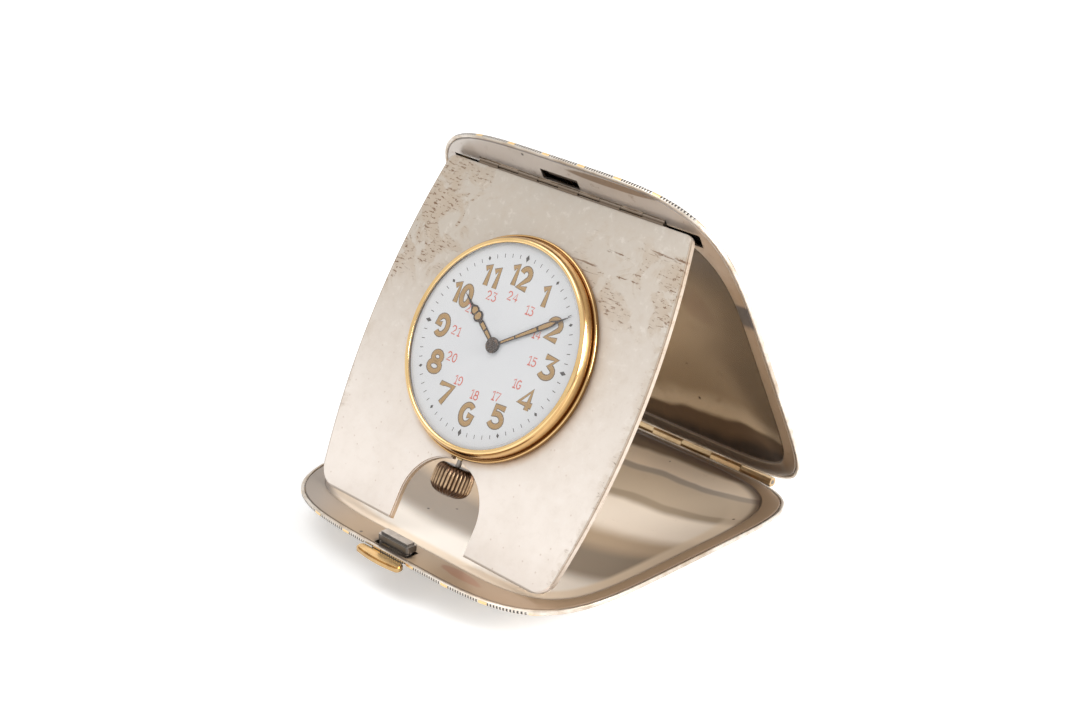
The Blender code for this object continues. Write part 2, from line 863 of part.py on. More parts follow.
def make_case(parent):
    inner = band_radius - band_wall
    profile = [(inner, band_front), (band_radius, band_front), (band_radius, band_rear), (inner, band_rear)]
    band = turned("case_band", profile, metals["gold"], parent, closed=True)
    hole = rod("stem_hole", stem_tube_radius + running_fit, inner - overrun, band_radius + overrun)
    aim = Matrix.Translation((0, 0, -stem_depth)) @ Matrix.Rotation(math.pi / 2, 4, "X")
    cut(band, moved(hole, aim))
    low = band_front + seat_gap
    seat = bezel_inner_radius + bezel_wall
    middle = (bezel_radius + bezel_inner_radius) / 2
    profile = [
        (bezel_inner_radius, bezel_front - bezel_wall / 3),
        (middle - bezel_wall, bezel_front),
        (middle, bezel_front - bezel_wall / 4),
        (bezel_radius - bezel_wall / 2, (bezel_widest + bezel_front) / 2),
        (bezel_radius, bezel_widest),
        (bezel_radius - bezel_wall / 4, (low + bezel_widest) / 2),
        (bezel_radius - bezel_wall, low),
        (seat, low),
        (seat, crystal_ledge + crystal_fit),
        (bezel_inner_radius, crystal_ledge + crystal_fit),
    ]
    turned("bezel", profile, metals["gold"], parent, closed=True)
    view = bezel_inner_radius - crystal_fit
    rim = seat - crystal_fit
    rise = crystal_rise - crystal_edge
    foot = dial_front + crystal_fit
    under = view - crystal_thickness
    outside = []
    inside = []
    for share in crystal_shares:
        outside.append((view * share, crystal_rise - rise * share**crystal_power))
        drop = rise * (under / view * share) ** crystal_power
        inside.append((under * share, crystal_rise - crystal_thickness - drop))
    flange = [(view, crystal_ledge), (rim, crystal_ledge), (rim, foot), (under, foot)]
    profile = outside + flange + list(reversed(inside))
    turned("crystal", profile, metals["crystal"], parent)
    closing = band_rear - seat_gap
    hold = inner - seat_gap
    shares = case_back_shares
    inside = [((hold - band_wall) * share, closing - case_back_depth * (1 - share**2)) for share in shares]
    outside = [
        (band_radius * share, closing - case_back_thickness - case_back_depth * (1 - share**2))
        for share in (*shares, 1)
    ]
    lip = [
        (hold - band_wall / 2, closing),
        (hold - band_wall / 2, band_rear + band_wall),
        (hold, band_rear + band_wall),
        (hold, closing),
        (band_radius, closing),
    ]
    turned("case_back", inside + lip + list(reversed(outside)), metals["gold"], parent)
    dial_radius = seat - dial_fit
    bore = centre_tube_radius + 2 * running_fit
    dial_rear = dial_front - dial_thickness
    profile = [(bore, dial_front), (dial_radius, dial_front), (dial_radius, dial_rear), (bore, dial_rear)]
    turned("dial", profile, metals["enamel"], parent, closed=True)


def make_crown(parent):
    """Crown and stem, drawn along the stem's axis with the crown's outer end at the top."""
    flutes = []
    for index in range(2 * crown_flutes):
        angle = math.pi * index / crown_flutes
        reach = crown_radius - (index % 2) * crown_flute_depth
        flutes.append((math.cos(angle) * reach, math.sin(angle) * reach))
    top = -crown_top
    end = top + crown_length
    heights = (top, top + crown_round / 4, top + crown_round, end - crown_round, end - crown_round / 3, end)
    rings = []
    for height, share in zip(heights, crown_ring_shares):
        rings.append([Vector((across * share, along * share, height)) for across, along in flutes])
    crown = place("crown", loft("crown", rings), metals["crown"], parent)
    cut(crown, rod("stem_bore", stem_radius, top - overrun, top + crown_length / 2))
    stem_end = top + crown_length / 2 - seat_gap
    stem = rod("winding_stem", stem_radius - running_fit, stem_inner_end, stem_end, round_steps // 4)
    place("winding_stem", stem, metals["steel"], parent)


def gear_outline(radius, teeth, depth, turn=0.0):
    """Pointed teeth, two corners each."""
    points = []
    for index in range(2 * teeth):
        angle = math.pi * index / teeth + turn
        reach = radius - (index % 2) * depth
        points.append((reach * math.cos(angle), reach * math.sin(angle)))
    return points


def spoke_windows(hub, rim, count, width):
    """Window outlines between the arms of a wheel."""
    windows = []
    for index in range(count):
        start = 2 * math.pi * index / count
        end = start + 2 * math.pi / count
        inner, outer = width / 2 / hub, width / 2 / rim
        window = arc((0, 0), rim, start + outer, end - outer, 4)
        window += list(reversed(arc((0, 0), hub, start + inner, end - inner, 1)))
        windows.append(window)
    return windows


def arbor_profile(low, high, body_low, body_high, radius=None):
    """An arbor with a thinner pivot at each end, from the top down."""
    thick = radius or arbor_radius
    pivot = pivot_radius
    upper = [(0, high), (pivot, high), (pivot, body_high), (thick, body_high)]
    return upper + [(thick, body_low), (pivot, body_low), (pivot, low), (0, low)]


def wheel_piece(name, finish, parent, centre, outlines, level, arbor, pinion=None):
    """A toothed wheel on its arbor, with an optional pinion as (radius, teeth, low, high)."""
    frame = Matrix.Translation((*centre, 0))
    mesh = flat(name, outlines, level, level + wheel_thickness)
    made = place(name, mesh, finish, parent, frame)
    cut(made, turned_mesh(name + "_arbor", arbor), operation="UNION")
    if pinion:
        radius, teeth, low, high = pinion
        leaves = flat(name + "_pinion", [gear_outline(radius, teeth, radius / 3)], low, high)
        cut(made, leaves, operation="UNION")
    return made


def polar(radius, degrees):
    angle = math.radians(degrees)
    return (radius * math.cos(angle), radius * math.sin(angle))


def on_way(start, distance, degrees):
    step = polar(distance, degrees)
    return (start[0] + step[0], start[1] + step[1])


def movement_layout():
    """Centres of the wheels, each one tooth gap from the pinion that it drives."""
    places = {"centre": (0.0, 0.0)}
    reach = barrel_radius + centre_pinion_radius + tooth_gap
    places["barrel"] = polar(reach, barrel_degrees)
    reach = centre_wheel_radius + third_pinion_radius + tooth_gap
    places["third"] = polar(reach, third_degrees)
    reach = third_wheel_radius + fourth_pinion_radius + tooth_gap
    places["fourth"] = on_way(places["third"], reach, fourth_degrees)
    reach = fourth_wheel_radius + escape_pinion_radius + tooth_gap
    places["escape"] = on_way(places["fourth"], reach, escape_degrees)
    places["fork"] = on_way(places["escape"], fork_distance, fork_degrees)
    places["balance"] = on_way(places["fork"], balance_distance, balance_degrees)
    reach = ratchet_radius + crown_wheel_radius + tooth_gap
    places["crown_wheel"] = on_way(places["barrel"], reach, crown_wheel_degrees)
    reach = cannon_radius + minute_wheel_radius + tooth_gap
    places["minute"] = polar(reach, minute_wheel_degrees)
    return places


def rim_arc(radius, degrees, steps):
    """Points along the movement's rim between two directions."""
    start, end = degrees
    return arc((0, 0), radius, math.radians(start), math.radians(end), steps)


def pivot_hole(centre, radius=None):
    return circle((radius or pivot_radius) + running_fit, 8, centre)


def make_plates(parent, places):
    """Main plate and bridges as flat outlines with their pivot holes, and the bridges' pillars."""
    slot = winding_pinion_radius + 2 * seat_gap
    slot_top = -winding_pinion_top + 2 * seat_gap
    start = -math.pi / 2 + math.asin(slot / movement_radius)
    rim = arc((0, 0), movement_radius, start, 2 * math.pi - math.pi - start, 48)
    outline = rim + [(-slot, slot_top), (slot, slot_top)]
    holes = [circle(centre_tube_radius, small_steps)]
    for name in ("barrel", "third", "fourth", "escape", "fork", "balance"):
        holes.append(pivot_hole(places[name]))
    plate = flat("main_plate", [outline, *holes], main_plate_rear, main_plate_front)
    place("main_plate", plate, metals["brass"], parent)
    ring = [
        (movement_radius + seat_gap, main_plate_front),
        (band_radius - band_wall - seat_gap, main_plate_front),
        (band_radius - band_wall - seat_gap, main_plate_front - ring_height),
        (movement_radius + seat_gap, main_plate_front - ring_height),
    ]
    holder = turned("movement_ring", ring, metals["brass"], parent, closed=True)
    half = stem_tube_radius + running_fit
    reach = band_radius
    cut(
        holder,
        box("stem_gap", (-half, -reach, -stem_depth - half), (half, 0, main_plate_front - ring_height / 4)),
    )
    edge = movement_radius - pillar_radius / 2
    barrel_bridge = rim_arc(edge, barrel_bridge_degrees, 14) + list(barrel_bridge_corners)
    fork = places["fork"]
    train_bridge = rim_arc(edge, train_bridge_degrees, 14) + list(train_bridge_corners)
    train_bridge += [on_way(fork, *way) for way in zip(fork_cove_reaches, fork_cove_degrees)]
    balance = places["balance"]
    cock = rim_arc(edge, cock_degrees, 8)
    cock += [on_way(balance, *way) for way in zip(cock_nose_reaches, cock_nose_degrees)]
    bridges = {
        "barrel_bridge": (barrel_bridge, ("barrel", "centre", "crown_wheel"), barrel_pillar_degrees),
        "train_bridge": (train_bridge, ("third", "fourth", "escape", "fork"), train_pillar_degrees),
        "balance_cock": (cock, ("balance",), cock_pillar_degrees),
    }
    for name, (shape, pivots, pillars) in bridges.items():
        holes = [pivot_hole(places[pivot]) for pivot in pivots]
        heads = [polar(edge - 2 * pillar_radius, degrees) for degrees in pillars]
        holes += [circle(screw_radius, 8, head) for head in heads]
        bridge = place(name, flat(name, [shape, *holes], bridge_rear, bridge_front), metals["brass"], parent)
        foot = main_plate_rear - seat_gap
        tubes = []
        for head in heads:
            ring_outline = [circle(pillar_radius, small_steps, head), circle(screw_radius, 8, head)]
            tubes.append(flat(name + "_pillar", ring_outline, bridge_front - seat_gap, foot))
            make_screw(f"{name}_screw_{len(tubes)}", head, foot, parent)
        cut(bridge, gathered(name + "_pillars", tubes), operation="UNION")


def make_screw(name, centre, foot, parent):
    """A cheese-head screw through a bridge and its pillar."""
    low, high = bridge_rear - seat_gap - screw_head_height, bridge_rear - seat_gap
    shank = screw_radius - running_fit
    profile = [(0, foot), (shank, foot), (shank, high)]
    profile += [(screw_head_radius, high), (screw_head_radius, low), (0, low)]
    frame = Matrix.Translation((*centre, 0))
    turned(name, profile, metals["blued"], parent, frame, steps=small_steps)


def train_wheel(name, finish, parent, centre, size, level, arbor, pinion):
    """A wheel with four arms, as (radius, teeth, tooth depth), and its pinion on one arbor."""
    radius, teeth, depth = size
    windows = spoke_windows(2 * arbor_radius, radius - depth - 2 * tooth_depth, 4, arbor_radius)
    outlines = [gear_outline(radius, teeth, depth), *windows]
    return wheel_piece(name, metals[finish], parent, centre, outlines, level, arbor, pinion)


def make_barrel(parent, frame, bottom, top, body_bottom, body_top, barrel_low):
    """The barrel with its mainspring, and the ratchet wheel on the barrel's arbor."""
    barrel_high = barrel_low + barrel_height
    teeth = gear_outline(barrel_radius, barrel_teeth, tooth_depth)
    bore = circle(barrel_arbor_radius + running_fit)
    drum = flat("barrel", [teeth, bore], barrel_low, barrel_low + wheel_thickness)
    barrel = place("barrel", drum, metals["brass"], parent, frame)
    outer = barrel_radius - 2 * tooth_depth
    inner = outer - barrel_wall
    rings = [circle(outer, 24), circle(inner, 24)]
    wall = flat("barrel_wall", rings, barrel_low + wheel_thickness / 2, barrel_high)
    cut(barrel, wall, operation="UNION")
    start = barrel_arbor_radius + 2 * running_fit
    low, high = barrel_low + wheel_thickness + running_fit, barrel_high - running_fit
    coil = spiral("mainspring", start, inner - running_fit, spring_turns, small_steps, spring_strip, low, high)
    place("mainspring", coil, metals["steel"], parent, frame)
    ratchet_low = bridge_rear - seat_gap - wheel_thickness
    teeth = gear_outline(ratchet_radius, ratchet_teeth, tooth_depth)
    ratchet = flat("ratchet_wheel", [teeth], ratchet_low, ratchet_low + wheel_thickness)
    wheel = place("ratchet_wheel", ratchet, metals["steel"], parent, frame)
    profile = arbor_profile(ratchet_low + wheel_thickness / 2, top, body_bottom, body_top, barrel_arbor_radius)
    cut(wheel, turned_mesh("barrel_arbor", profile), operation="UNION")


def make_crown_wheel(parent, centre):
    """The crown wheel on the barrel bridge, with a stub in the bridge."""
    low = bridge_rear - seat_gap - wheel_thickness
    teeth = gear_outline(crown_wheel_radius, crown_wheel_teeth, tooth_depth)
    mesh = flat("crown_wheel", [teeth], low, low + wheel_thickness)
    wheel = place("crown_wheel", mesh, metals["steel"], parent, Matrix.Translation((*centre, 0)))
    stub_high = bridge_front - seat_gap
    stub = rod("crown_wheel_stub", pivot_radius, low + wheel_thickness / 2, stub_high, arbor_steps)
    cut(wheel, stub, operation="UNION")


def make_fork(parent, frame, level, arbor):
    """The pallet fork, with its two pallets up and its notched tail to the balance."""
    reach = balance_distance - roller_radius - 2 * seat_gap
    span, width = pallet_span, arbor_radius
    right = [
        (span - width, 2 * width),
        (span - width, 3 * width),
        (span, 3 * width),
        (span, width),
        (width, -width),
        (width, -reach),
        (width / 3, -reach),
    ]
    left = [(-across, along) for across, along in reversed(right)]
    shape = right + [(0, width - reach)] + left
    mesh = flat("pallet_fork", [shape], level, level + wheel_thickness)
    fork = place("pallet_fork", mesh, metals["steel"], parent, frame)
    cut(fork, turned_mesh("fork_arbor", arbor), operation="UNION")


def make_balance(parent, frame, balance_low, roller_level, arbor):
    """The balance wheel on its staff with the roller, and the hairspring under it."""
    windows = spoke_windows(3 * arbor_radius, balance_radius - 2 * arbor_radius, 3, 1.5 * arbor_radius)
    rim = [circle(balance_radius, 40), *windows]
    wheel = flat("balance_wheel", rim, balance_low, balance_low + 2 * wheel_thickness)
    balance = place("balance_wheel", wheel, metals["gold"], parent, frame)
    cut(balance, turned_mesh("balance_staff", arbor), operation="UNION")
    roller = rod("roller", roller_radius, roller_level - seat_gap, roller_level + wheel_thickness + seat_gap)
    cut(balance, roller, operation="UNION")
    low = balance_low - seat_gap - hairspring_height
    inner, outer = arbor_radius + 2 * running_fit, balance_radius * hairspring_share
    coil = spiral("hairspring", inner, outer, 4, 10, hairspring_strip, low, low + hairspring_height)
    place("hairspring", coil, metals["blued"], parent, frame)


def make_train(parent, places):
    """Barrel, going train, escapement and balance."""
    top = main_plate_front - seat_gap
    bottom = bridge_rear + seat_gap
    body_top = main_plate_rear - seat_gap
    body_bottom = bridge_front + seat_gap
    arbor = arbor_profile(bottom, top, body_bottom, body_top)
    low = body_bottom + seat_gap
    mid = low + barrel_height / 2
    high = mid + 2 * wheel_thickness
    level = body_top - wheel_thickness - seat_gap
    make_barrel(parent, Matrix.Translation((*places["barrel"], 0)), bottom, top, body_bottom, body_top, low)
    make_crown_wheel(parent, places["crown_wheel"])
    short_arbor = arbor_profile(bottom, body_top - seat_gap, body_bottom, body_top - 2 * seat_gap)
    size = (centre_wheel_radius, centre_teeth, tooth_depth)
    pinion = (centre_pinion_radius, centre_leaves, low, level - seat_gap)
    train_wheel("centre_wheel", "brass", parent, places["centre"], size, level, short_arbor, pinion)
    size = (third_wheel_radius, third_teeth, tooth_depth)
    pinion = (third_pinion_radius, train_leaves, level - seat_gap, level + wheel_thickness)
    train_wheel("third_wheel", "brass", parent, places["third"], size, mid, arbor, pinion)
    size = (fourth_wheel_radius, fourth_teeth, tooth_depth)
    pinion = (fourth_pinion_radius, train_leaves, mid - seat_gap, mid + wheel_thickness + seat_gap)
    train_wheel("fourth_wheel", "brass", parent, places["fourth"], size, low, arbor, pinion)
    size = (escape_wheel_radius, escape_teeth, 3 * tooth_depth)
    pinion = (escape_pinion_radius, train_leaves, low, low + wheel_thickness + seat_gap)
    train_wheel("escape_wheel", "steel", parent, places["escape"], size, high, arbor, pinion)
    turn = Matrix.Rotation(math.radians(fork_turn_degrees), 4, "Z")
    make_fork(parent, Matrix.Translation((*places["fork"], 0)) @ turn, high, arbor)
    balance_low = low + 2 * seat_gap + wheel_thickness
    make_balance(parent, Matrix.Translation((*places["balance"], 0)), balance_low, high, arbor)


def spiral(name, inner, outer, turns, turn_points, strip, low, high):
    """A flat strip wound from the arbor outward, as one solid."""
    rings = []
    count = turns * turn_points
    for index in range(count + 1):
        angle = 2 * math.pi * index / turn_points
        radius = inner + strip / 2 + (outer - inner - strip) * index / count
        ring = []
        for side, height in ((-1, low), (1, low), (1, high), (-1, high)):
            reach = radius + side * strip / 2
            ring.append(Vector((reach * math.cos(angle), reach * math.sin(angle), height)))
        rings.append(ring)
    return loft(name, rings)


def make_keyless(parent, places):
    """Winding pinion on the stem and the click on the ratchet wheel."""
    aim = Matrix.Translation((0, 0, -stem_depth)) @ Matrix.Rotation(math.pi / 2, 4, "X")
    teeth = gear_outline(winding_pinion_radius, winding_pinion_teeth, 2 * tooth_depth)
    bore = circle(stem_radius + running_fit, 8)
    end = winding_pinion_top + winding_pinion_length
    pinion = flat("winding_pinion", [teeth, bore], winding_pinion_top, end)
    place("winding_pinion", pinion, metals["steel"], parent, aim)
    tube = [
        (stem_radius + running_fit, band_radius + stem_tube_length),
        (stem_tube_radius, band_radius + stem_tube_length),
        (stem_tube_radius, band_radius - band_wall - seat_gap),
        (stem_radius + running_fit, band_radius - band_wall - seat_gap),
    ]
    turned("stem_tube", tube, metals["gold"], parent, aim, steps=round_steps // 4, closed=True)
    low = bridge_rear - seat_gap - wheel_thickness
    pivot = on_way(places["barrel"], ratchet_radius + click_reach, click_degrees)
    reach = click_reach - 2 * tooth_gap
    nose, heel = click_nose_degrees
    shape = rim_arc(click_width, click_arc_degrees, 8)
    shape += [polar(reach, nose), polar(reach * click_heel_share, heel)]
    click = flat("click", [shape], low, low + wheel_thickness)
    place("click", click, metals["steel"], parent, Matrix.Translation((*pivot, 0)))


def make_motion_works(parent, places):
    """Cannon pinion, minute wheel and hour wheel under the dial, and the hands over it."""
    low = main_plate_front + seat_gap
    tip = dial_front + hand_gap
    cannon_top = tip + 2 * hand_thickness + hand_gap + hand_gap / 2
    teeth = gear_outline(cannon_radius, cannon_teeth, tooth_depth)
    mesh = flat("cannon_pinion", [teeth], low, low + motion_thickness)
    made = place("cannon_pinion", mesh, metals["steel"], parent)
    radius = centre_post_radius
    post = [(0, cannon_top), (radius, cannon_top), (radius, main_plate_rear), (0, main_plate_rear)]
    cut(made, turned_mesh("cannon_post", post), operation="UNION")
    teeth = gear_outline(minute_wheel_radius, minute_wheel_teeth, tooth_depth)
    wheel = flat("minute_wheel", [teeth], low, low + motion_thickness)
    place("minute_wheel", wheel, metals["brass"], parent, Matrix.Translation((*places["minute"], 0)))
    hour_low = low + motion_thickness + running_fit
    bore = centre_post_radius + running_fit
    teeth = gear_outline(hour_wheel_radius, hour_wheel_teeth, tooth_depth)
    hour = flat("hour_wheel", [teeth, circle(bore)], hour_low, hour_low + motion_thickness)
    made = place("hour_wheel", hour, metals["brass"], parent)
    pipe = [
        (bore, tip + hand_thickness),
        (centre_tube_radius, tip + hand_thickness),
        (centre_tube_radius, hour_low + motion_thickness / 2),
        (bore, hour_low + motion_thickness / 2),
    ]
    cut(made, turned_mesh("hour_pipe", pipe, closed=True), operation="UNION")


def hand_outline(length, lobe, lobe_width, hub, bore):
    """A tapered hand with one lobed swelling, as a closed outline round its boss."""
    root_across, root_along = hand_root_shares
    tip_across, tip_along = hand_tip_shares
    right = [(hub * root_across, hub * root_along)]
    right += [(lobe_width * across, lobe * along) for across, along in hand_lobe_shares]
    waist = (right[-1][1] + length) / 2
    right += [(lobe_width * hand_waist_share, waist), (lobe_width * tip_across, length * tip_along)]
    right.append((0, length))
    left = [(-across, along) for across, along in reversed(right[:-1])]
    boss = rim_arc(hub, hand_boss_degrees, 12)
    return [right + left + boss[1:-1], circle(bore)]


def make_hands(parent):
    low = dial_front + hand_gap
    hour_turn = Matrix.Rotation(-hour_hand_angle, 4, "Z")
    bore = centre_tube_radius + running_fit / 2
    lobe, hub = hour_hand_length * hour_lobe_share, hand_boss * hour_boss_share
    shape = hand_outline(hour_hand_length, lobe, hand_lobe_width * hour_width_share, hub, bore)
    place("hour_hand", flat("hour_hand", shape, low, low + hand_thickness), metals["hands"], parent, hour_turn)
    low += hand_thickness + hand_gap
    minute_turn = Matrix.Rotation(-minute_hand_angle, 4, "Z")
    bore = centre_post_radius + running_fit / 2
    lobe = minute_hand_length * minute_lobe_share
    shape = hand_outline(minute_hand_length, lobe, hand_lobe_width, hand_boss, bore)
    mesh = flat("minute_hand", shape, low, low + hand_thickness)
    place("minute_hand", mesh, metals["hands"], parent, minute_turn)
    cap_low = low + hand_thickness + hand_gap
    profile = []
    for across, rise in cap_shares:
        profile.append((centre_cap_radius * across, cap_low + centre_cap_height * rise))
    turned("centre_cap", profile, metals["hands"], parent, steps=round_steps // 2)


def make_metals():
    return {
        "engraved": metal("engraved_gilt_silver", (0.62, 0.58, 0.52), 0.3),
        "lining": metal("gilt_lining", (0.60, 0.50, 0.38), 0.22),
        "hinge": metal("gilt_hinge", (0.78, 0.60, 0.32), 0.3),
        "plate": metal("satin_silver", (0.72, 0.68, 0.62), 0.42),
        "gold": metal("polished_gilt", (0.85, 0.62, 0.30), 0.15),
        "crown": metal("bronze_gilt", (0.62, 0.45, 0.25), 0.35),
        "steel": metal("steel", (0.50, 0.50, 0.50), 0.35),
        "blued": metal("blued_steel", (0.05, 0.08, 0.22), 0.3),
        "brass": metal("movement_brass", (0.80, 0.66, 0.36), 0.35),
        "enamel": metal("white_enamel", (0.88, 0.88, 0.87), 0.15, 0.0),
        "hands": metal("dark_hands", (0.10, 0.06, 0.04), 0.35),
        "crystal": metal("crystal", (0.95, 0.97, 0.98), 0.02, 0.0, 0.2),
    }


clear_scene()
parts = new_collection("Travel clock")
cutters = new_collection("Cutters")
cutters.hide_render = True
metals = make_metals()

case_opening, plate_opening = standing_angles()
rest_at, rest_depth = rest_point()
tilt = Matrix.Rotation(-base_tilt, 4, "X")
hinge_place = -(tilt @ Vector((0, -rest_at, -rest_depth)))
hinge = empty("rear_hinge", None, Matrix.Translation(hinge_place))
base_frame = empty("base_frame", hinge, tilt)
back_frame = empty("back_frame", base_frame, Matrix.Rotation(-case_opening, 4, "X"))
plate_turn = Matrix.Translation((0, -plate_hinge_reach, 0)) @ Matrix.Rotation(-plate_opening, 4, "X")
plate_frame = empty("plate_frame", back_frame, plate_turn)
dial_place = Matrix.Translation((0, plate_hinge_height, -plate_axis_depth)) @ Matrix.Rotation(math.pi, 4, "X")
dial_frame = empty("dial_frame", plate_frame, dial_place)
stem_turn = Matrix.Translation((0, 0, -stem_depth)) @ Matrix.Rotation(math.pi / 2, 4, "X")
stem_frame = empty("stem_frame", dial_frame, stem_turn)

make_base(base_frame)
make_catch(base_frame)
make_catch_spring(base_frame)
make_back(back_frame)
make_plate(dial_frame)
make_case(dial_frame)
make_crown(stem_frame)
wheel_places = movement_layout()
make_plates(dial_frame, wheel_places)
make_train(dial_frame, wheel_places)
make_keyless(dial_frame, wheel_places)
make_motion_works(dial_frame, wheel_places)
make_hands(dial_frame)
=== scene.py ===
"""Travel clock, dressed: fine covers, linings, bezel, crystal, crown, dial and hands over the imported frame.

The covers are drawn in their hinge frames: X along the rear hinge, -Y to the front, the rim plane at Z = 0.
The watch is drawn in the dial frame: X to the right, +Y to twelve, +Z to the viewer, plate's face at Z = 0.
"""

import json
import math

import bmesh
import bpy
from bpy.props import FloatProperty, FloatVectorProperty, IntProperty, PointerProperty
from mathutils import Euler, Matrix, Vector


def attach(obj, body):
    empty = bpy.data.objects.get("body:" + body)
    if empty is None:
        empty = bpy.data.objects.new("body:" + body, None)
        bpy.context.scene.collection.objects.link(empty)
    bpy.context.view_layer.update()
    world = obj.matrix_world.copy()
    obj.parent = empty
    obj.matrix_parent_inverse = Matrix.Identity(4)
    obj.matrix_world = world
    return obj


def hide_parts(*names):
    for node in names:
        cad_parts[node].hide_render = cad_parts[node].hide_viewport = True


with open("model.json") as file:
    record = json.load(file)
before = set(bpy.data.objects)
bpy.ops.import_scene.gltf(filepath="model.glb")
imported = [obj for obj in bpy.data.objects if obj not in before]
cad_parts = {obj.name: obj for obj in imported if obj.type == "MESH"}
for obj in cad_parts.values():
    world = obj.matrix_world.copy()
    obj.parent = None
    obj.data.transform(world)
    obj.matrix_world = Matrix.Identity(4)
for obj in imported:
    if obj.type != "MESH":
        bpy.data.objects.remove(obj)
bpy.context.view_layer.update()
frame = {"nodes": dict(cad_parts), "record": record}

bl_info = {
    "name": "Travel clock",
    "version": (1, 0, 0),
    "blender": (4, 5, 0),
    "location": "View3D > Sidebar > Travel clock",
    "description": "Dresses the frame of a folding travel clock with fine shapes and metal finishes",
    "category": "Object",
}

joints = {joint["name"]: joint for joint in frame["record"]["behaviour"]["joints"]}
millimetre = 0.001


# Sizes and colours


def length(name, description, default):
    return FloatProperty(name=name, description=description, default=default, unit="LENGTH", precision=5)


def colour(name, description, default):
    return FloatVectorProperty(
        name=name, description=description, default=default, subtype="COLOR", min=0, max=1
    )


def number(name, description, default):
    return FloatProperty(name=name, description=description, default=default)


def count(name, description, default):
    return IntProperty(name=name, description=description, default=default, min=6)


class ClockCovers(bpy.types.PropertyGroup):
    half_width: length("Half width", "Half the covers' width", 0.0396)
    rear: length("Rear", "From the hinge axis to the covers' rear wall", 0.0013)
    front: length("Front", "From the hinge axis to the covers' front wall", 0.0851)
    rear_power: number("Rear squareness", "Squareness of the rear corners", 7.0)
    front_power: number("Front squareness", "Squareness of the front corners", 4.4)
    skin: length("Skin", "Thickness of the covers", 0.0006)
    edge_height: length("Edge height", "Height of the straight wall", 0.0006)
    edge_round: length("Edge round", "Radius between the wall and the dome", 0.0005)
    depth: length("Depth", "Depth of the dome below the rim plane", 0.0072)
    dome_power: number("Dome fullness", "How flat the dome's middle is", 2.6)
    lip: length("Lip", "Rounding of the rim", 0.00015)
    strip: length("Strip", "Thickness of the rim strips", 0.0005)
    lining: length("Lining", "Thickness of the dished linings", 0.00035)
    lining_fit: length("Lining fit", "Gap between the strips and the wall", 0.0001)
    dish_edge: length("Dish edge", "Depth of the linings' edge below the rim plane", 0.00045)
    dish_depth: length("Dish depth", "Depth of the dished linings", 0.0061)
    base_half: length("Base opening", "Half the base opening's width", 0.0367)
    base_rear: length("Base opening rear", "Rear edge of the base opening", 0.0030)
    base_front: length("Base opening front", "Front edge of the base opening", 0.0788)
    back_half: length("Back opening", "Half the back opening's width", 0.0363)
    back_rear: length("Back opening rear", "Rear edge of the back opening", 0.0058)
    back_front: length("Back opening front", "Front edge of the back opening", 0.0766)
    points: count("Points", "Points in a quarter of each ring", 24)


class ClockPlate(bpy.types.PropertyGroup):
    half_width: length("Half width", "Half the plate's width at its widest", 0.0362)
    bottom: length("Bottom", "From the dial's centre down to the free edge", 0.0400)
    top: length("Top", "From the dial's centre up to the hinge edge", 0.03315)
    thickness: length("Thickness", "Thickness of the plate", 0.0015)
    bevel: length("Bevel", "Easing of the plate's edges", 0.00025)
    side_radius: length("Side radius", "Radius of the bowed sides", 0.165)
    widest: length("Widest", "From the dial's centre down to the widest place", 0.0029)
    top_corner: length("Top corners", "Radius of the corners by the hinge", 0.0020)
    low_corner: length("Low corners", "Radius of the corners at the free edge", 0.0052)
    arch: length("Arch", "Radius of the arch round the crown", 0.0104)
    arch_drop: length("Arch drop", "From the dial's centre down to the arch's centre", 0.0341)
    hole: length("Hole", "Radius of the hole for the watch case", 0.0219)
    slot: length("Stem slot", "Half the width of the slot for the stem", 0.0013)


class ClockWatch(bpy.types.PropertyGroup):
    bezel_radius: length("Bezel", "Outer radius of the bezel", 0.02307)
    bezel_inner: length("Bezel opening", "Inner radius of the bezel", 0.0208)
    bezel_front: length("Bezel front", "Height of the bezel over the plate", 0.0037)
    crystal_rise: length("Crystal rise", "Height of the crystal's middle", 0.0049)
    crystal_edge: length("Crystal edge", "Height of the dome's edge", 0.00345)
    crystal_ledge: length("Crystal ledge", "Height of the crystal's rim", 0.0030)
    crystal_thickness: length("Crystal thickness", "Thickness of the crystal", 0.0005)
    case_inner: length("Case bore", "Inner radius of the case wall", 0.0208)
    case_outer: length("Case", "Outer radius of the case wall", 0.0216)
    case_depth: length("Case depth", "Depth of the case wall behind the plate's face", 0.0039)
    dial_radius: length("Dial", "Radius of the dial", 0.02085)
    dial_front: length("Dial front", "Height of the dial's face over the plate", 0.00265)
    dial_thickness: length("Dial thickness", "Thickness of the dial", 0.0006)
    dial_turn: FloatProperty(
        name="Dial turn",
        description="How far the dial is turned from upright",
        default=math.radians(0.9),
        unit="ROTATION",
    )
    track: length("Minute track", "Radius of the minute track", 0.01825)
    numeral_circle: length("Numerals", "Radius of the numerals' circle", 0.0144)
    numeral_height: length("Numeral height", "Height of the numerals", 0.0044)
    small_circle: length("Small numbers", "Radius of the small numbers' circle", 0.0103)
    small_height: length("Small number height", "Height of the small numbers", 0.0019)
    crown_near: length("Crown near end", "From the dial's centre to the crown", 0.0248)
    crown_far: length("Crown far end", "From the dial's centre to the crown's end", 0.0310)
    crown_radius: length("Crown", "Radius over the crown's flutes", 0.00415)
    flute_depth: length("Flute depth", "Depth of the crown's flutes", 0.00030)
    flutes: count("Flutes", "Flutes round the crown", 30)
    steps: count("Steps", "Steps round each turned piece", 128)


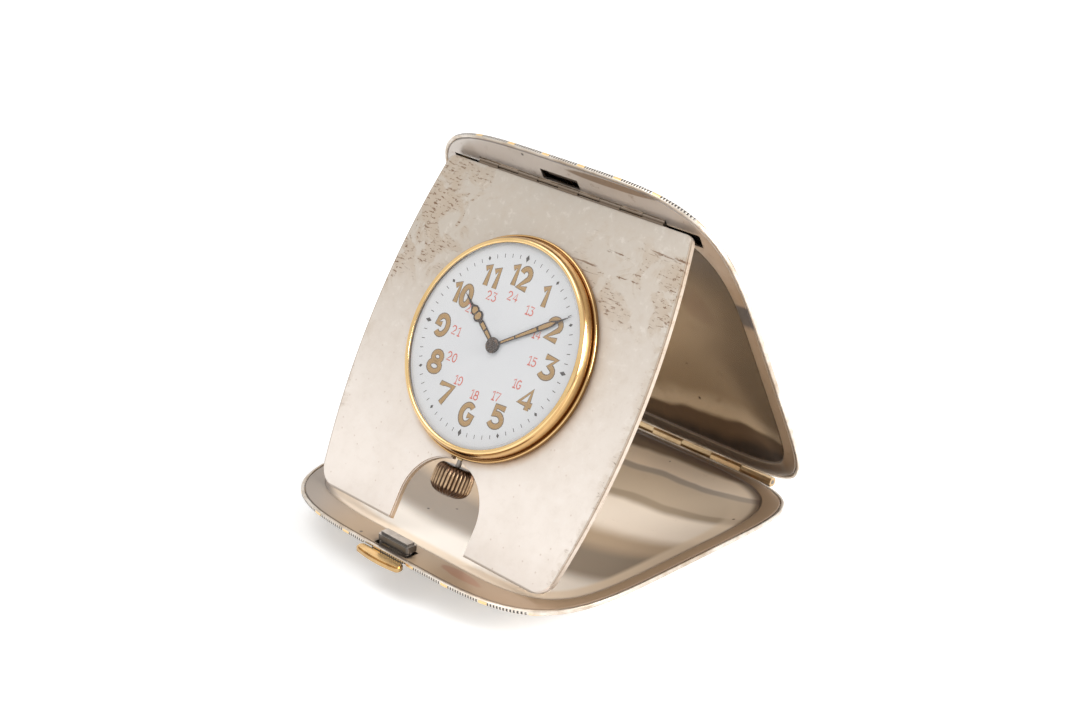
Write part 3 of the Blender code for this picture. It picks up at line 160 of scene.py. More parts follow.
class ClockColours(bpy.types.PropertyGroup):
    plate: colour("Plate", "Satin silver of the dial plate", (0.93, 0.845, 0.77))
    # The plate's top tone is painted shade: it darkens the plate toward its top edge and its left.
    plate_top: colour("Plate top", "Satin silver toward the plate's top edge", (0.56, 0.50, 0.43))
    plate_dark: colour("Plate tarnish", "Tarnish on the dial plate", (0.17, 0.085, 0.04))
    brown: colour("Brown", "Brown tarnish in the linings", (0.26, 0.17, 0.10))
    gold: colour("Gold", "Polished gold", (0.80, 0.56, 0.27))
    silver: colour("Silver", "Silver lines of the engraving", (0.66, 0.60, 0.53))
    black: colour("Black", "Dark lines of the engraving", (0.07, 0.06, 0.055))
    bronze: colour("Bronze", "Crown", (0.52, 0.36, 0.22))
    steel: colour("Steel", "Steel of the movement and springs", (0.50, 0.46, 0.42))
    enamel: colour("Enamel", "Dial", (0.72, 0.72, 0.73))
    ochre: colour("Ochre", "Luminous numerals and hands", (0.42, 0.24, 0.07))
    red: colour("Red", "Small numbers", (0.62, 0.10, 0.06))
    ink: colour("Ink", "Minute track and hands", (0.035, 0.022, 0.016))


def covers_of():
    return bpy.context.scene.clock_covers


def plate_of():
    return bpy.context.scene.clock_plate


def watch_of():
    return bpy.context.scene.clock_watch


def colours_of():
    return bpy.context.scene.clock_colours


# Frames


def hinge_frame(origin, along):
    """A frame from its origin and its +Y direction, with X along the rear hinge."""
    across, along = Vector((1, 0, 0)), Vector(along).normalized()
    turn = Matrix((across, along, across.cross(along))).transposed()
    return Matrix.Translation(origin) @ turn.to_4x4()


def base_frame():
    return hinge_frame(joints["case_hinge"]["pos_m"], joints["catch_push"]["axis"])


def back_frame():
    hinge, top = (Vector(joints[name]["pos_m"]) for name in ("case_hinge", "plate_hinge"))
    return hinge_frame(hinge, hinge - top)


def dial_frame():
    return hinge_frame(joints["minute_turn"]["pos_m"], joints["crown_turn"]["axis"])


def stem_frame():
    stem = joints["crown_turn"]
    return hinge_frame(stem["pos_m"], Vector((1, 0, 0)).cross(Vector(stem["axis"])))


# Shader


def operator(operation, reflected=False):
    """A method that makes a maths node of a signal and another value."""

    def method(self, other):
        return self.finish.maths(operation, *((other, self) if reflected else (self, other)))

    return method


class Signal:
    """A shader socket that takes part in sums, products and comparisons."""

    def __init__(self, finish, socket):
        self.finish = finish
        self.socket = socket

    __add__, __radd__ = operator("ADD"), operator("ADD", True)
    __sub__, __rsub__ = operator("SUBTRACT"), operator("SUBTRACT", True)
    __mul__, __rmul__ = operator("MULTIPLY"), operator("MULTIPLY", True)
    __truediv__, __rtruediv__ = operator("DIVIDE"), operator("DIVIDE", True)
    __pow__, __mod__ = operator("POWER"), operator("FLOORED_MODULO")

    def __abs__(self):
        return self.finish.maths("ABSOLUTE", self)

    def wave(self):
        """Sine of this angle, from 0 to 1."""
        return self.finish.maths("SINE", self) * 0.5 + 0.5

    def rise(self, low, high):
        """0 below low, 1 above high and smooth between."""
        settings = {"interpolation_type": "SMOOTHSTEP"}
        values = {"Value": self, "From Min": low, "From Max": high}
        return self.finish.node("ShaderNodeMapRange", settings, values)


class Finish:
    """A material under construction, or the world's shader where a world is given."""

    def __init__(self, name, world=None):
        self.owner = world or bpy.data.materials.new(name)
        self.owner.use_nodes = True
        self.tree = self.owner.node_tree
        self.tree.nodes.clear()

    def node(self, kind, settings=None, values=None, output=0):
        made = self.tree.nodes.new(kind)
        for name, setting in (settings or {}).items():
            setattr(made, name, setting)
        for key, value in (values or {}).items():
            socket = made.inputs[key]
            if isinstance(value, Signal):
                self.tree.links.new(value.socket, socket)
            elif socket.type == "RGBA" and len(value) == 3:
                socket.default_value = (*value, 1.0)
            else:
                socket.default_value = value
        return Signal(self, made.outputs[output]) if made.outputs else None

    def maths(self, operation, *values):
        return self.node("ShaderNodeMath", {"operation": operation}, dict(enumerate(values)))

    def place(self):
        return self.node("ShaderNodeTexCoord", output="Object")

    def part(self, vector, axis):
        return self.node("ShaderNodeSeparateXYZ", None, {"Vector": vector}, axis)

    def axes(self):
        place = self.place()
        return [self.part(place, axis) for axis in range(3)]

    def facing(self, axis):
        """How far the surface faces along one of the piece's own axes, from -1 to 1."""
        return self.part(self.node("ShaderNodeTexCoord", output="Normal"), axis)

    def noise(self, scale, detail=4.0, roughness=0.55, distortion=0.0, stretch=(1, 1, 1)):
        place = {0: self.place(), 1: stretch}
        place = self.node("ShaderNodeVectorMath", {"operation": "MULTIPLY"}, place)
        values = {"Scale": scale, "Detail": detail, "Roughness": roughness, "Distortion": distortion}
        return self.node("ShaderNodeTexNoise", None, {"Vector": place, **values})

    def specks(self, scale, size):
        """Small scattered pits, 1 inside a pit."""
        near = self.node("ShaderNodeTexVoronoi", None, {"Vector": self.place(), "Scale": scale})
        return 1 - near.rise(size * 0.5, size)

    def seen_rays(self):
        """1 for rays from the camera and for reflections and refractions."""
        kinds = ("Is Camera Ray", "Is Glossy Ray", "Is Transmission Ray")
        rays = [self.node("ShaderNodeLightPath", output=kind) for kind in kinds]
        return (rays[0] + rays[1] + rays[2]).rise(0.0, 0.5)

    def mix(self, share, first, second):
        settings = {"data_type": "RGBA", "blend_type": "MIX"}
        return self.node("ShaderNodeMix", settings, {0: share, 6: first, 7: second}, 2)

    def layers(self, surface, *coats):
        """The surface under its coats, each given as (share, colour)."""
        for share, tone in coats:
            surface = self.mix(share, surface, tone)
        return surface

    def ramp(self, signal, first, stops):
        """A colour that changes at each stop, given as (low, high, colour)."""
        return self.layers(first, *((signal.rise(low, high), tone) for low, high, tone in stops))

    def done(self, surface, metallic, roughness, relief=None, strength=0.1, distance=0.00004, more=None):
        """The finished material, with its relief as a bump."""
        values = {"Base Color": surface, "Metallic": metallic, "Roughness": roughness, **(more or {})}
        if relief is not None:
            bump = {"Height": relief, "Strength": strength, "Distance": distance}
            values["Normal"] = self.node("ShaderNodeBump", None, bump)
        return self.end(self.node("ShaderNodeBsdfPrincipled", None, values))

    def end(self, shader, kind="ShaderNodeOutputMaterial"):
        self.node(kind, None, {"Surface": shader})
        return self.owner


# Finishes


def plate_metal():
    """Satin silver, greyed toward the top and left by painted shade, with rubbed scratches, brown specks and
    a painted gilt reflection of the bezel round it.
    """
    tones, plate = colours_of(), plate_of()
    cloudy, mottled, pale = (0.62, 0.52, 0.42), (0.52, 0.41, 0.31), (0.93, 0.88, 0.82)
    smear, freckle, gilt = (0.44, 0.31, 0.19), (0.45, 0.30, 0.20), (0.55, 0.32, 0.13)
    outline, bevel, arch_wall = (0.36, 0.28, 0.21), (0.30, 0.23, 0.17), (0.36, 0.24, 0.14)
    side_bow = 3.03
    finish = Finish("plate_satin_silver")
    across, along, _ = finish.axes()
    radius = (across**2 + along**2) ** 0.5
    cloud = finish.noise(70, 5, 0.6)
    patch = finish.noise(150, 5, 0.65, 0.8)
    mottle = finish.noise(420, 6, 0.7, 0.2)
    grit = finish.noise(1900, 5, 0.7, 0.3, (0.30, 1.0, 1.0))
    hair = finish.noise(5200, 2, 0.5, 0.0, (0.04, 1.0, 0.6))
    streak = finish.noise(1000, 4, 0.6, 0.3, (0.05, 1.0, 1.0))
    side = plate.half_width - (along + plate.widest) ** 2 * side_bow - abs(across)
    left = (1 - across.rise(-0.030, -0.004)) * along.rise(0.000, 0.014)
    right = across.rise(0.002, 0.016) * along.rise(0.008, 0.015) * (1 - along.rise(0.027, 0.032))
    rim = 1 - side.rise(0.0004, 0.0040)
    glow = 1 - radius.rise(0.0229, 0.0252)
    worn = (left + right * 0.7 + rim * 0.6).rise(0.0, 1.1)
    spotted = (patch + worn * 0.12 - 0.05).rise(0.49, 0.58)
    specks = (grit + worn * 0.04).rise(0.59, 0.635) * spotted * (0.1 + worn * 0.9)
    lines = streak.rise(0.60, 0.64) * right * patch.rise(0.40, 0.52)
    upper = along.rise(-0.036, 0.030)
    # Painted reflection of the gold bezel on the plate round it, stronger toward the bottom
    bezel_reflection = glow * (0.35 - along * 16).rise(0.0, 1.0) * (0.4 + patch)
    margin = 1 - side.rise(0.0003, 0.0006) * (along + plate.bottom).rise(0.0003, 0.0006)
    facing = abs(finish.facing(2))
    arch = (1 - facing.rise(0.25, 0.45)) * (1 - abs(across).rise(0.0110, 0.0115))
    edge = facing.rise(0.30, 0.55) * (1 - facing.rise(0.90, 0.98))
    surface = finish.layers(
        tones.plate,
        # Painted shade, darker toward the top and the left
        (upper - across * 3 * upper, tones.plate_top),
        (cloud.rise(0.38, 0.70) * 0.20, cloudy),
        (mottle.rise(0.48, 0.70) * (0.08 + upper * 0.16), mottled),
        ((1 - mottle.rise(0.32, 0.46)) * 0.22, pale),
        (spotted * worn * 0.38, smear),
        ((specks + lines).rise(0, 1) * 0.9, tones.plate_dark),
        (finish.specks(420, 0.11) * 0.3 * (1 - upper * 0.6), freckle),
        # Painted gilt reflection of the bezel
        (bezel_reflection.rise(0, 1) * 0.75, gilt),
        (margin * 0.65, outline),
        (edge * 0.7, bevel),
        (arch * 0.85, arch_wall),
    )
    roughness = 0.34 + hair * 0.10 + specks * 0.18
    relief = hair * 0.4 + grit * 0.25 - specks * 0.5
    return finish.done(surface, 0.55 - specks * 0.3, roughness, relief, 0.16)


def oval(across, along, centre, radii, rough, low, high):
    """1 inside an oval whose edge a signal roughens."""
    reach = ((across - centre[0]) / radii[0]) ** 2 + ((along - centre[1]) / radii[1]) ** 2
    return 1 - (reach + rough).rise(low, high)


class Lining(Finish):
    """What the finishes of both linings share."""

    def __init__(self, name, cloud_scale):
        super().__init__(name)
        across, along, self.height = self.axes()
        self.dish = abs(self.height).rise(0.0002, 0.0005)
        self.cloud = self.noise(cloud_scale, 3, 0.5, 0.6)
        self.fine = self.noise(260, 6, 0.7, 0.4)
        self.signals = (across, along, 0 - along, self.cloud, self.fine)
        self.pits = self.specks(150, 0.07)

    def strip(self, light, low, share):
        """A cover's rim strip: clouds of a lower tone, and brown flecks."""
        clouds = (self.cloud.rise(0.42, 0.62) * 0.5 + share).rise(0, 1)
        return self.layers(light, (clouds, low), (self.fine.rise(0.58, 0.70) * 0.5, colours_of().brown))

    def finished(self, strip, floor, metallic):
        """Strip and dish together, with a dark line of painted shade round the opening, pits and a shallow
        waviness.
        """
        line, pit = (0.07, 0.045, 0.03), (0.03, 0.02, 0.015)
        # Painted shade: a dark line on the steep eased edge round the opening
        lip = (1 - abs(self.facing(2)).rise(0.60, 0.97)) * (1 - abs(self.height).rise(0.0005, 0.0008))
        surface = self.layers(strip, (self.dish, floor), (lip * 0.7, line), (self.pits * 0.85, pit))
        roughness = 0.20 + self.fine * 0.10 + (1 - self.dish) * 0.06
        return self.done(surface, metallic, roughness, self.cloud - self.pits * 0.3, 0.10, 0.0005)


def base_lining_metal():
    """The base's strip and dish, toned in soft bands of painted light and dark reflections that follow the
    opening's edge.
    """
    # The dish's bands are painted light and dark reflections, the rear tone by the edge is a painted
    # reflection, and the shade tone round the dish's rim is painted shade.
    first, bands = (0.30, 0.22, 0.15), (
        (0.0045, 0.0062, (1.0, 0.84, 0.66)),
        (0.0100, 0.0108, (0.50, 0.43, 0.36)),
        (0.0118, 0.0126, (0.74, 0.61, 0.46)),
        (0.0200, 0.0210, (0.52, 0.42, 0.31)),
        (0.0222, 0.0250, (1.0, 0.88, 0.74)),
        (0.0335, 0.0400, (0.62, 0.48, 0.34)),
        (0.0420, 0.0480, (0.34, 0.28, 0.22)),
        (0.0560, 0.0640, (1.0, 0.93, 0.84)),
    )
    rear_reflection, shade, flecks = (0.92, 0.76, 0.58), (0.16, 0.11, 0.08), (0.50, 0.37, 0.26)
    light, low, grey = (0.30, 0.205, 0.13), (0.20, 0.135, 0.085), (0.31, 0.27, 0.235)
    olive, black, rust = (0.36, 0.25, 0.15), (0.035, 0.028, 0.022), (0.24, 0.12, 0.07)
    middle, half_width, half_length, power = 0.0409, 0.0367, 0.0379, 5
    finish = Lining("base_gilt_lining", 26)
    across, along, ahead, cloud, fine = finish.signals
    edge = (abs(across) / half_width) ** power + (abs(along + middle) / half_length) ** power
    edge = edge ** (1 / power) + cloud * 0.04 - 0.02
    depth = ahead + (across - 0.012) * 0.10 + (cloud - 0.5) * 0.006
    floor = finish.layers(
        finish.ramp(depth, first, bands),
        (edge.rise(0.83, 0.89) * ahead.rise(0.004, 0.030), rear_reflection),
        (edge.rise(0.945, 0.985) * 0.8, shade),
        (fine.rise(0.60, 0.78) * 0.30, flecks),
    )
    front = ahead.rise(0.0765, 0.0785) * (1 - abs(across + 0.004).rise(0.008, 0.024))
    # Painted shadow: near-black under and in front of the catch, over its slot
    catch_shadow = oval(across, along, (-0.0010, -0.0832), (0.0052, 0.0016), fine, 1.1, 1.8)
    patch = oval(across, along + across * 0.04, (0.0150, -0.0800), (0.0058, 0.0013), fine, 1.1, 1.6)
    strip = finish.layers(
        finish.strip(light, low, 0.1),
        ((1 - across.rise(-0.020, 0.030)).rise(0, 1) * 0.75, grey),
        (front * 0.75, olive),
        (catch_shadow * 0.95, black),
        (patch * 0.85, rust),
    )
    bright = depth.rise(0.0215, 0.0250) * (1 - depth.rise(0.032, 0.040)) * finish.dish
    return finish.finished(strip, floor, 0.25 - bright * 0.25)


def back_lining_metal():
    """The back cover's strip and dish in painted light and shade: taupe above, a dark band under a wavy
    bright line near the hinge.
    """
    # The dish's bands are painted reflections and painted shade, darkest by the hinge.
    first, bands = (0.22, 0.165, 0.11), (
        (-0.064, -0.048, (0.34, 0.26, 0.17)),
        (-0.0165, -0.0115, (0.60, 0.50, 0.37)),
        (-0.0110, -0.0096, (0.13, 0.085, 0.05)),
        (-0.0080, -0.0050, (0.035, 0.025, 0.02)),
    )
    flecks, blush_tone = (0.20, 0.13, 0.08), (0.16, 0.08, 0.045)
    light, low = (0.62, 0.57, 0.53), (0.49, 0.43, 0.37)
    gilt_side, rear_shade = (0.38, 0.26, 0.155), (0.20, 0.155, 0.115)
    gilt_corner, dark_segment, bronze_lens = (0.50, 0.36, 0.24), (0.09, 0.085, 0.09), (0.27, 0.18, 0.115)
    finish = Lining("back_gilt_lining", 34)
    across, along, ahead, cloud, fine = finish.signals
    wave = along + across * 0.14 + (cloud - 0.5) * 0.009
    blush = oval(across, along, (0.018, -0.047), (0.006, 0.006), fine * 2, 1.2, 2.2)
    floor = finish.layers(
        finish.ramp(wave, first, bands), (fine.rise(0.55, 0.75) * 0.35, flecks), (blush * 0.35, blush_tone)
    )
    # Painted shade: the strip darkens and clouds toward the hinge
    rear = 1 - ahead.rise(0.006, 0.012)
    side = abs(across).rise(0.0335, 0.0350) * (1 - ahead.rise(0.062, 0.070))
    corner = across.rise(0.026, 0.035) * ahead.rise(0.058, 0.068)
    segment = along.rise(-0.0600, -0.0590) * (1 - along.rise(-0.0545, -0.0525)) * side
    lens = oval(across, along, (0.0125, -0.0831), (0.0115, 0.00095), cloud * 0.3, 0.85, 1.25)
    strip = finish.layers(
        finish.strip(light, low, rear * 0.4),
        (side * 0.8, gilt_side),
        (rear * 0.8, rear_shade),
        (corner * 0.5, gilt_corner),
        (segment * 0.9, dark_segment),
        (lens * 0.8, bronze_lens),
    )
    return finish.finished(strip, floor, 0.75)


def engraved_metal():
    """Engine-turned stripes along the cover: groups of fine dark and light lines between gold bands."""
    tones = colours_of()
    pitch, band, line, step = 0.0093, 0.0019, 0.00062, 0.0011
    polished_light, polished_worn = (0.74, 0.68, 0.61), (0.50, 0.41, 0.32)
    finish = Finish("engine_turned_stripes")
    across, along, height = finish.axes()
    place = (across + pitch * 8.5) % pitch
    outer = abs(height).rise(0.00022, 0.00030) * (1 - abs(finish.facing(0)).rise(0.55, 0.75))
    gold = (1 - place.rise(band * 0.92, band)) * outer
    lines = (place * (2 * math.pi / line)).wave()
    steps = (along * (2 * math.pi / step) + lines * 1.2).wave()
    dark = lines.rise(0.42, 0.58) * (1 - gold) * outer
    worn = finish.noise(160, 6, 0.65)
    polished = finish.mix(worn.rise(0.35, 0.65), polished_light, polished_worn)
    stripes = finish.layers(tones.silver, (dark, tones.black), (gold, tones.gold))
    surface = finish.layers(polished, (outer, stripes), (worn.rise(0.58, 0.74) * 0.35, tones.brown))
    roughness = 0.22 + worn * 0.14 + dark * 0.15
    relief = (1 - dark) * 0.7 + steps * (1 - gold) * outer * 0.15 + gold * 0.9
    return finish.done(surface, 0.9 - dark * 0.3, roughness, relief, 0.4, 0.00008)


def bezel_gold():
    """Polished gold, brown in the groove round the bezel, with painted dark reflections along a line inside
    it and at its foot.
    """
    clouded, lower, shaded = (0.55, 0.33, 0.13), (0.62, 0.38, 0.16), (0.32, 0.16, 0.055)
    groove_brown, outline_brown = (0.24, 0.12, 0.045), (0.16, 0.085, 0.03)
    finish = Finish("bezel_gold")
    across, along, height = finish.axes()
    radius = (across**2 + along**2) ** 0.5
    cloud = finish.noise(120, 4, 0.6, 0.3)
    wall = 1 - finish.facing(2).rise(0.15, 0.75)
    groove = radius.rise(0.02215, 0.02232) * (1 - radius.rise(0.02244, 0.02254))
    outside = radius.rise(0.02130, 0.02142)
    # Painted dark reflections in bands round the wall: a line under the crest, and the foot
    line = height.rise(0.00290, 0.00310) * (1 - height.rise(0.00340, 0.00355)) * outside
    foot = (1 - height.rise(0.00125, 0.00205)) * outside
    surface = finish.layers(
        colours_of().gold,
        (cloud.rise(0.40, 0.72) * 0.3, clouded),
        (wall * 0.35, lower),
        ((line * 0.55 + foot * 0.45).rise(0, 1), shaded),
        (groove * 0.75, groove_brown),
        (radius.rise(0.02298, 0.02304) * 0.8, outline_brown),
    )
    return finish.done(surface, 1.0, 0.10 + cloud * 0.06, finish.noise(1800, 3, 0.6), 0.04, 0.00003)


def worn_metal(name, light, dark, roughness, scale=180.0, depth=0.35, shade=0.0, bump=0.12):
    """A metal with cloudy toning, a fine grain, and painted shade: a darker tone where it faces away from the
    light.
    """
    finish = Finish(name)
    cloud = finish.noise(scale, 5, 0.6, 0.4)
    grain = finish.noise(scale * 14, 3, 0.6)
    # Painted shade where the surface turns away from the light
    away = 1 - finish.facing(2).rise(-0.35, 0.75)
    shares = (cloud.rise(0.40, 0.72) * depth, grain.rise(0.62, 0.76) * 0.18, away * shade)
    surface = finish.layers(light, *((share, dark) for share in shares))
    return finish.done(surface, 1.0, roughness + cloud * 0.10, grain, bump)


def hinge_line_metal():
    """The plate hinge's metal: like the strip above, with painted shade below where it meets the plate."""
    low, high, clouded = (0.20, 0.15, 0.11), (0.62, 0.53, 0.44), (0.25, 0.18, 0.12)
    finish = Finish("plate_hinge_line")
    _, along, height = finish.axes()
    centre, up = Vector(joints["minute_turn"]["pos_m"]), Vector(joints["crown_turn"]["axis"])
    level = (along - centre.y) * up.y + (height - centre.z) * up.z
    level = level.rise(0.03395, 0.03415)
    cloud = finish.noise(300, 4, 0.6)
    # The low tone under the level is painted shade where the hinge meets the plate
    surface = finish.layers(low, (level, high), (cloud.rise(0.45, 0.70) * 0.4, clouded))
    return finish.done(surface, 0.8, 0.30 + cloud * 0.1)


def fluted_bronze():
    """The crown's bronze-gilt, dark in its grooves."""
    groove, clouded = (0.07, 0.04, 0.025), (0.16, 0.09, 0.05)
    finish = Finish("bronze_gilt")
    across, along, _ = finish.axes()
    cloud = finish.noise(420, 5, 0.6, 0.4)
    ridge = ((across**2 + along**2) ** 0.5).rise(0.00388, 0.00412)
    surface = finish.layers(groove, (ridge, colours_of().bronze), (cloud.rise(0.42, 0.70) * 0.5, clouded))
    return finish.done(surface, 1.0, 0.26 + cloud * 0.12)


def paint(name, tone, second, roughness, scale, share, coat=0.0):
    """Enamel, ink or luminous paint with slight mottling."""
    finish = Finish(name)
    mottle = finish.noise(scale, 4, 0.6)
    surface = finish.mix(mottle.rise(0.35, 0.75) * share, tone, second)
    more = {"Coat Weight": coat}
    return finish.done(surface, 0.0, roughness + mottle * 0.08, mottle, 0.06, 0.00003, more)


def crystal_glass():
    """Clear glass that shows more at its rim, faintly smeared."""
    finish = Finish("crystal_clear")
    facing = finish.node("ShaderNodeLayerWeight", None, {"Blend": 0.12}, "Fresnel")
    smear = finish.noise(90, 4, 0.6)
    more = {"IOR": 1.49, "Alpha": 0.05 + facing * 0.30}
    return finish.done((0.95, 0.97, 0.98), 0.0, 0.02 + smear * 0.03, more=more)


finishes = {}


def finish_of(name):
    """The named finish, made when it is first asked for."""
    tones = colours_of()
    own = {
        "plate": plate_metal,
        "base_lining": base_lining_metal,
        "back_lining": back_lining_metal,
        "engraved": engraved_metal,
        "bezel": bezel_gold,
        "plate_hinge": hinge_line_metal,
        "crown": fluted_bronze,
        "crystal": crystal_glass,
    }
    # Each entry: name, light tone, dark tone, roughness, noise scale, depth of toning, share of painted
    # shade, bump.
    metals = {
        "gold": ("polished_gold", tones.gold, (0.34, 0.18, 0.07), 0.14, 150, 0.35, 0.8, 0.05),
        "bar": ("bar_gold", tones.gold, (0.22, 0.12, 0.05), 0.20, 300, 0.4, 0.7),
        "hinge": ("gilt_hinge", (0.74, 0.55, 0.32), (0.36, 0.23, 0.12), 0.24, 300, 0.4, 0.5),
        "catch": ("catch_steel", (0.54, 0.51, 0.48), (0.03, 0.024, 0.02), 0.25, 420, 0.3, 1.0),
        "steel": ("worn_steel", tones.steel, (0.10, 0.08, 0.065), 0.28, 320, 0.5, 0.9),
        "blued": ("blued_steel", (0.06, 0.09, 0.25), (0.02, 0.02, 0.06), 0.25),
        "brass": ("movement_brass", (0.80, 0.63, 0.32), (0.48, 0.34, 0.14), 0.28, 260, 0.4),
        "hands": ("dark_hands", tones.ink, (0.16, 0.09, 0.05), 0.22, 900, 0.5),
    }
    paints = {
        "enamel": ("white_enamel", tones.enamel, (0.80, 0.80, 0.79), 0.12, 60, 0.3, 0.4),
        "ochre": ("ochre_lume", tones.ochre, (0.42, 0.24, 0.06), 0.5, 1400, 0.6),
        "edge": ("numeral_edge", (0.16, 0.10, 0.05), (0.07, 0.04, 0.02), 0.4, 1600, 0.5),
        "red": ("red_print", tones.red, (0.70, 0.22, 0.14), 0.45, 2200, 0.5),
        "ink": ("black_print", tones.ink, (0.08, 0.06, 0.05), 0.4, 2200, 0.5),
    }
    if name not in finishes:
        if name in metals:
            finishes[name] = worn_metal(*metals[name])
        elif name in paints:
            finishes[name] = paint(*paints[name])
        else:
            finishes[name] = own[name]()
    return finishes[name]


# Shapes


def mesh_from(build):
    made = bpy.data.meshes.new("shape")
    bmesh.ops.recalc_face_normals(build, faces=build.faces)
    build.to_mesh(made)
    build.free()
    return made


def put(name, data):
    """A new object of the scene."""
    made = bpy.data.objects.new(name, data)
    bpy.context.scene.collection.objects.link(made)
    return made


def piece(name, mesh, finish, body, place, replaced=(), sharp=32.0):
    """A named piece in its finish, at its place, riding on its body."""
    made = put(name, mesh)
    mesh.name = name
    mesh.materials.clear()
    mesh.materials.append(finish_of(finish))
    mesh.shade_smooth()
    mesh.set_sharp_from_angle(angle=math.radians(sharp))
    made.matrix_world = place
    bpy.context.view_layer.update()
    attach(made, body)
    if replaced:
        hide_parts(*replaced)


def loft(rings):
    """A solid through rings of equal counts, capped at both ends."""
    build = bmesh.new()
    rows = [[build.verts.new(point) for point in ring] for ring in rings]
    for low, high in zip(rows, rows[1:]):
        for index in range(len(low)):
            after = (index + 1) % len(low)
            build.faces.new((low[index], low[after], high[after], high[index]))
    for row in (rows[0], rows[-1]):
        build.faces.new(row)
    return mesh_from(build)


def turned(profile, steps):
    """A turned solid about Z from a profile of (radius, height), closed unless it starts on the axis."""
    build = bmesh.new()
    columns = []
    for step in range(steps):
        angle = 2 * math.pi * step / steps
        cosine, sine = math.cos(angle), math.sin(angle)
        points = [(radius * cosine, radius * sine, height) for radius, height in profile]
        columns.append([build.verts.new(point) for point in points])
    sides = len(profile) if profile[0][0] else len(profile) - 1
    for step in range(steps):
        near, far = columns[step], columns[(step + 1) % steps]
        for index in range(sides):
            after = (index + 1) % len(profile)
            build.faces.new((near[index], near[after], far[after], far[index]))
    bmesh.ops.remove_doubles(build, verts=build.verts, dist=1e-7)
    return mesh_from(build)


def slab(outline, low, high, bevel):
    """A flat solid from an outline between two heights, with its level edges eased."""
    build = bmesh.new()
    base = build.faces.new([build.verts.new((*point, low)) for point in outline])
    raised = bmesh.ops.extrude_face_region(build, geom=[base])["geom"]
    verts = [item for item in raised if isinstance(item, bmesh.types.BMVert)]
    bmesh.ops.translate(build, vec=(0, 0, high - low), verts=verts)
    level = [edge for edge in build.edges if abs(edge.verts[0].co.z - edge.verts[1].co.z) < bevel]
    bmesh.ops.bevel(build, geom=level, offset=bevel, segments=2, affect="EDGES", clamp_overlap=True)
    return mesh_from(build)


def arc(centre, radii, start, end, steps):
    """Points along an elliptic arc, both ends included; angles in degrees."""
    points = []
    for step in range(steps + 1):
        angle = math.radians(start + (end - start) * step / steps)
        points.append((centre[0] + radii[0] * math.cos(angle), centre[1] + radii[1] * math.sin(angle)))
    return points


def rounded(low, high, radius, bow=0.0):
    """A rectangle with rounded corners whose lower side may bow outward."""
    sides = ((high[0] - radius, low[0] + radius), (high[1] - radius, low[1] + radius))
    points = []
    for start, across, along in ((0, 0, 0), (90, 1, 0), (180, 1, 1), (270, 0, 1)):
        points += arc((sides[0][across], sides[1][along]), (radius, radius), start, start + 90, 6)
        if start == 180 and bow:
            middle, reach = (low[0] + high[0]) / 2, (high[0] - low[0]) / 2 - radius
            steps = [step / 5 for step in range(-4, 5)]
            points += [(middle + reach * share, low[1] - bow * (1 - share**2)) for share in steps]
    return points


def mirrored(right, unit=1.0):
    """A closed outline from its right half, whose ends may lie on the middle line."""
    whole = right + [(-across, along) for across, along in reversed(right) if across > 1e-9]
    return [(across * unit, along * unit) for across, along in whole]


def patches(outlines, height):
    """Flat faces at one height, one for each outline."""
    build = bmesh.new()
    for outline in outlines:
        build.faces.new([build.verts.new((*point, height)) for point in outline])
    return mesh_from(build)


def cut_box(mesh, low, high):
    """The mesh with a box cut out of it."""
    target = put("cut_target", mesh)
    build = bmesh.new()
    bmesh.ops.create_cube(build, size=1.0)
    low, high = Vector(low), Vector(high)
    for vert in build.verts:
        vert.co = (low + high) / 2 + Vector(a * b for a, b in zip(vert.co, high - low))
    tool = put("cut_tool", mesh_from(build))
    step = target.modifiers.new("cut", "BOOLEAN")
    step.operation = "DIFFERENCE"
    step.solver = "EXACT"
    step.object = tool
    result = mesh_of(target)
    bpy.data.objects.remove(tool)
    return result


def mesh_of(made):
    """The evaluated mesh of an object, which is then removed."""
    bpy.context.view_layer.update()
    result = bpy.data.meshes.new_from_object(made.evaluated_get(bpy.context.evaluated_depsgraph_get()))
    bpy.data.objects.remove(made)
    return result


class Bow:
    """A bowed square outline that can be inset or scaled about its middle."""

    def __init__(self, half_width, rear, front, rear_power, front_power):
        self.values = (half_width, rear, front, rear_power, front_power)

    def inset(self, distance):
        half_width, rear, front, *powers = self.values
        return Bow(half_width - distance, rear + distance, front - distance, *powers)

    def scaled(self, share):
        half_width, rear, front, *powers = self.values
        centre, half = (rear + front) / 2, (front - rear) / 2
        softened = [2 + (power - 2) * share**2 for power in powers]
        return Bow(half_width * share, centre - half * share, centre + half * share, *softened)

    def ring(self, height):
        """Points round the outline, closer together at its corners."""
        half_width, rear, front, rear_power, front_power = self.values
        steps = covers_of().points
        centre, half = (rear + front) / 2, (front - rear) / 2
        crowding = 1.6
        ring = []
        for quarter in range(4):
            for step in range(steps):
                share = 2 * step / steps - 1
                angle = math.pi / 4 * (2 * quarter + 1 + math.copysign(abs(share) ** crowding, share))
                across, along = math.cos(angle), math.sin(angle)
                power = rear_power if along > 0 else front_power
                reach = (abs(across) ** power + abs(along) ** power) ** (-1 / power)
                ring.append(Vector((half_width * reach * across, half * reach * along - centre, height)))
        return ring


dome_shares = (0.06, 0.2, 0.35, 0.5, 0.62, 0.72, 0.8, 0.87, 0.93, 0.97)


def cover_outline():
    sizes = covers_of()
    return Bow(sizes.half_width, sizes.rear, sizes.front, sizes.rear_power, sizes.front_power)


def hollow(edge, depth, share):
    """Depth of a dome or dish at a share of its reach."""
    return edge + (depth - edge) * (1 - share ** covers_of().dome_power)


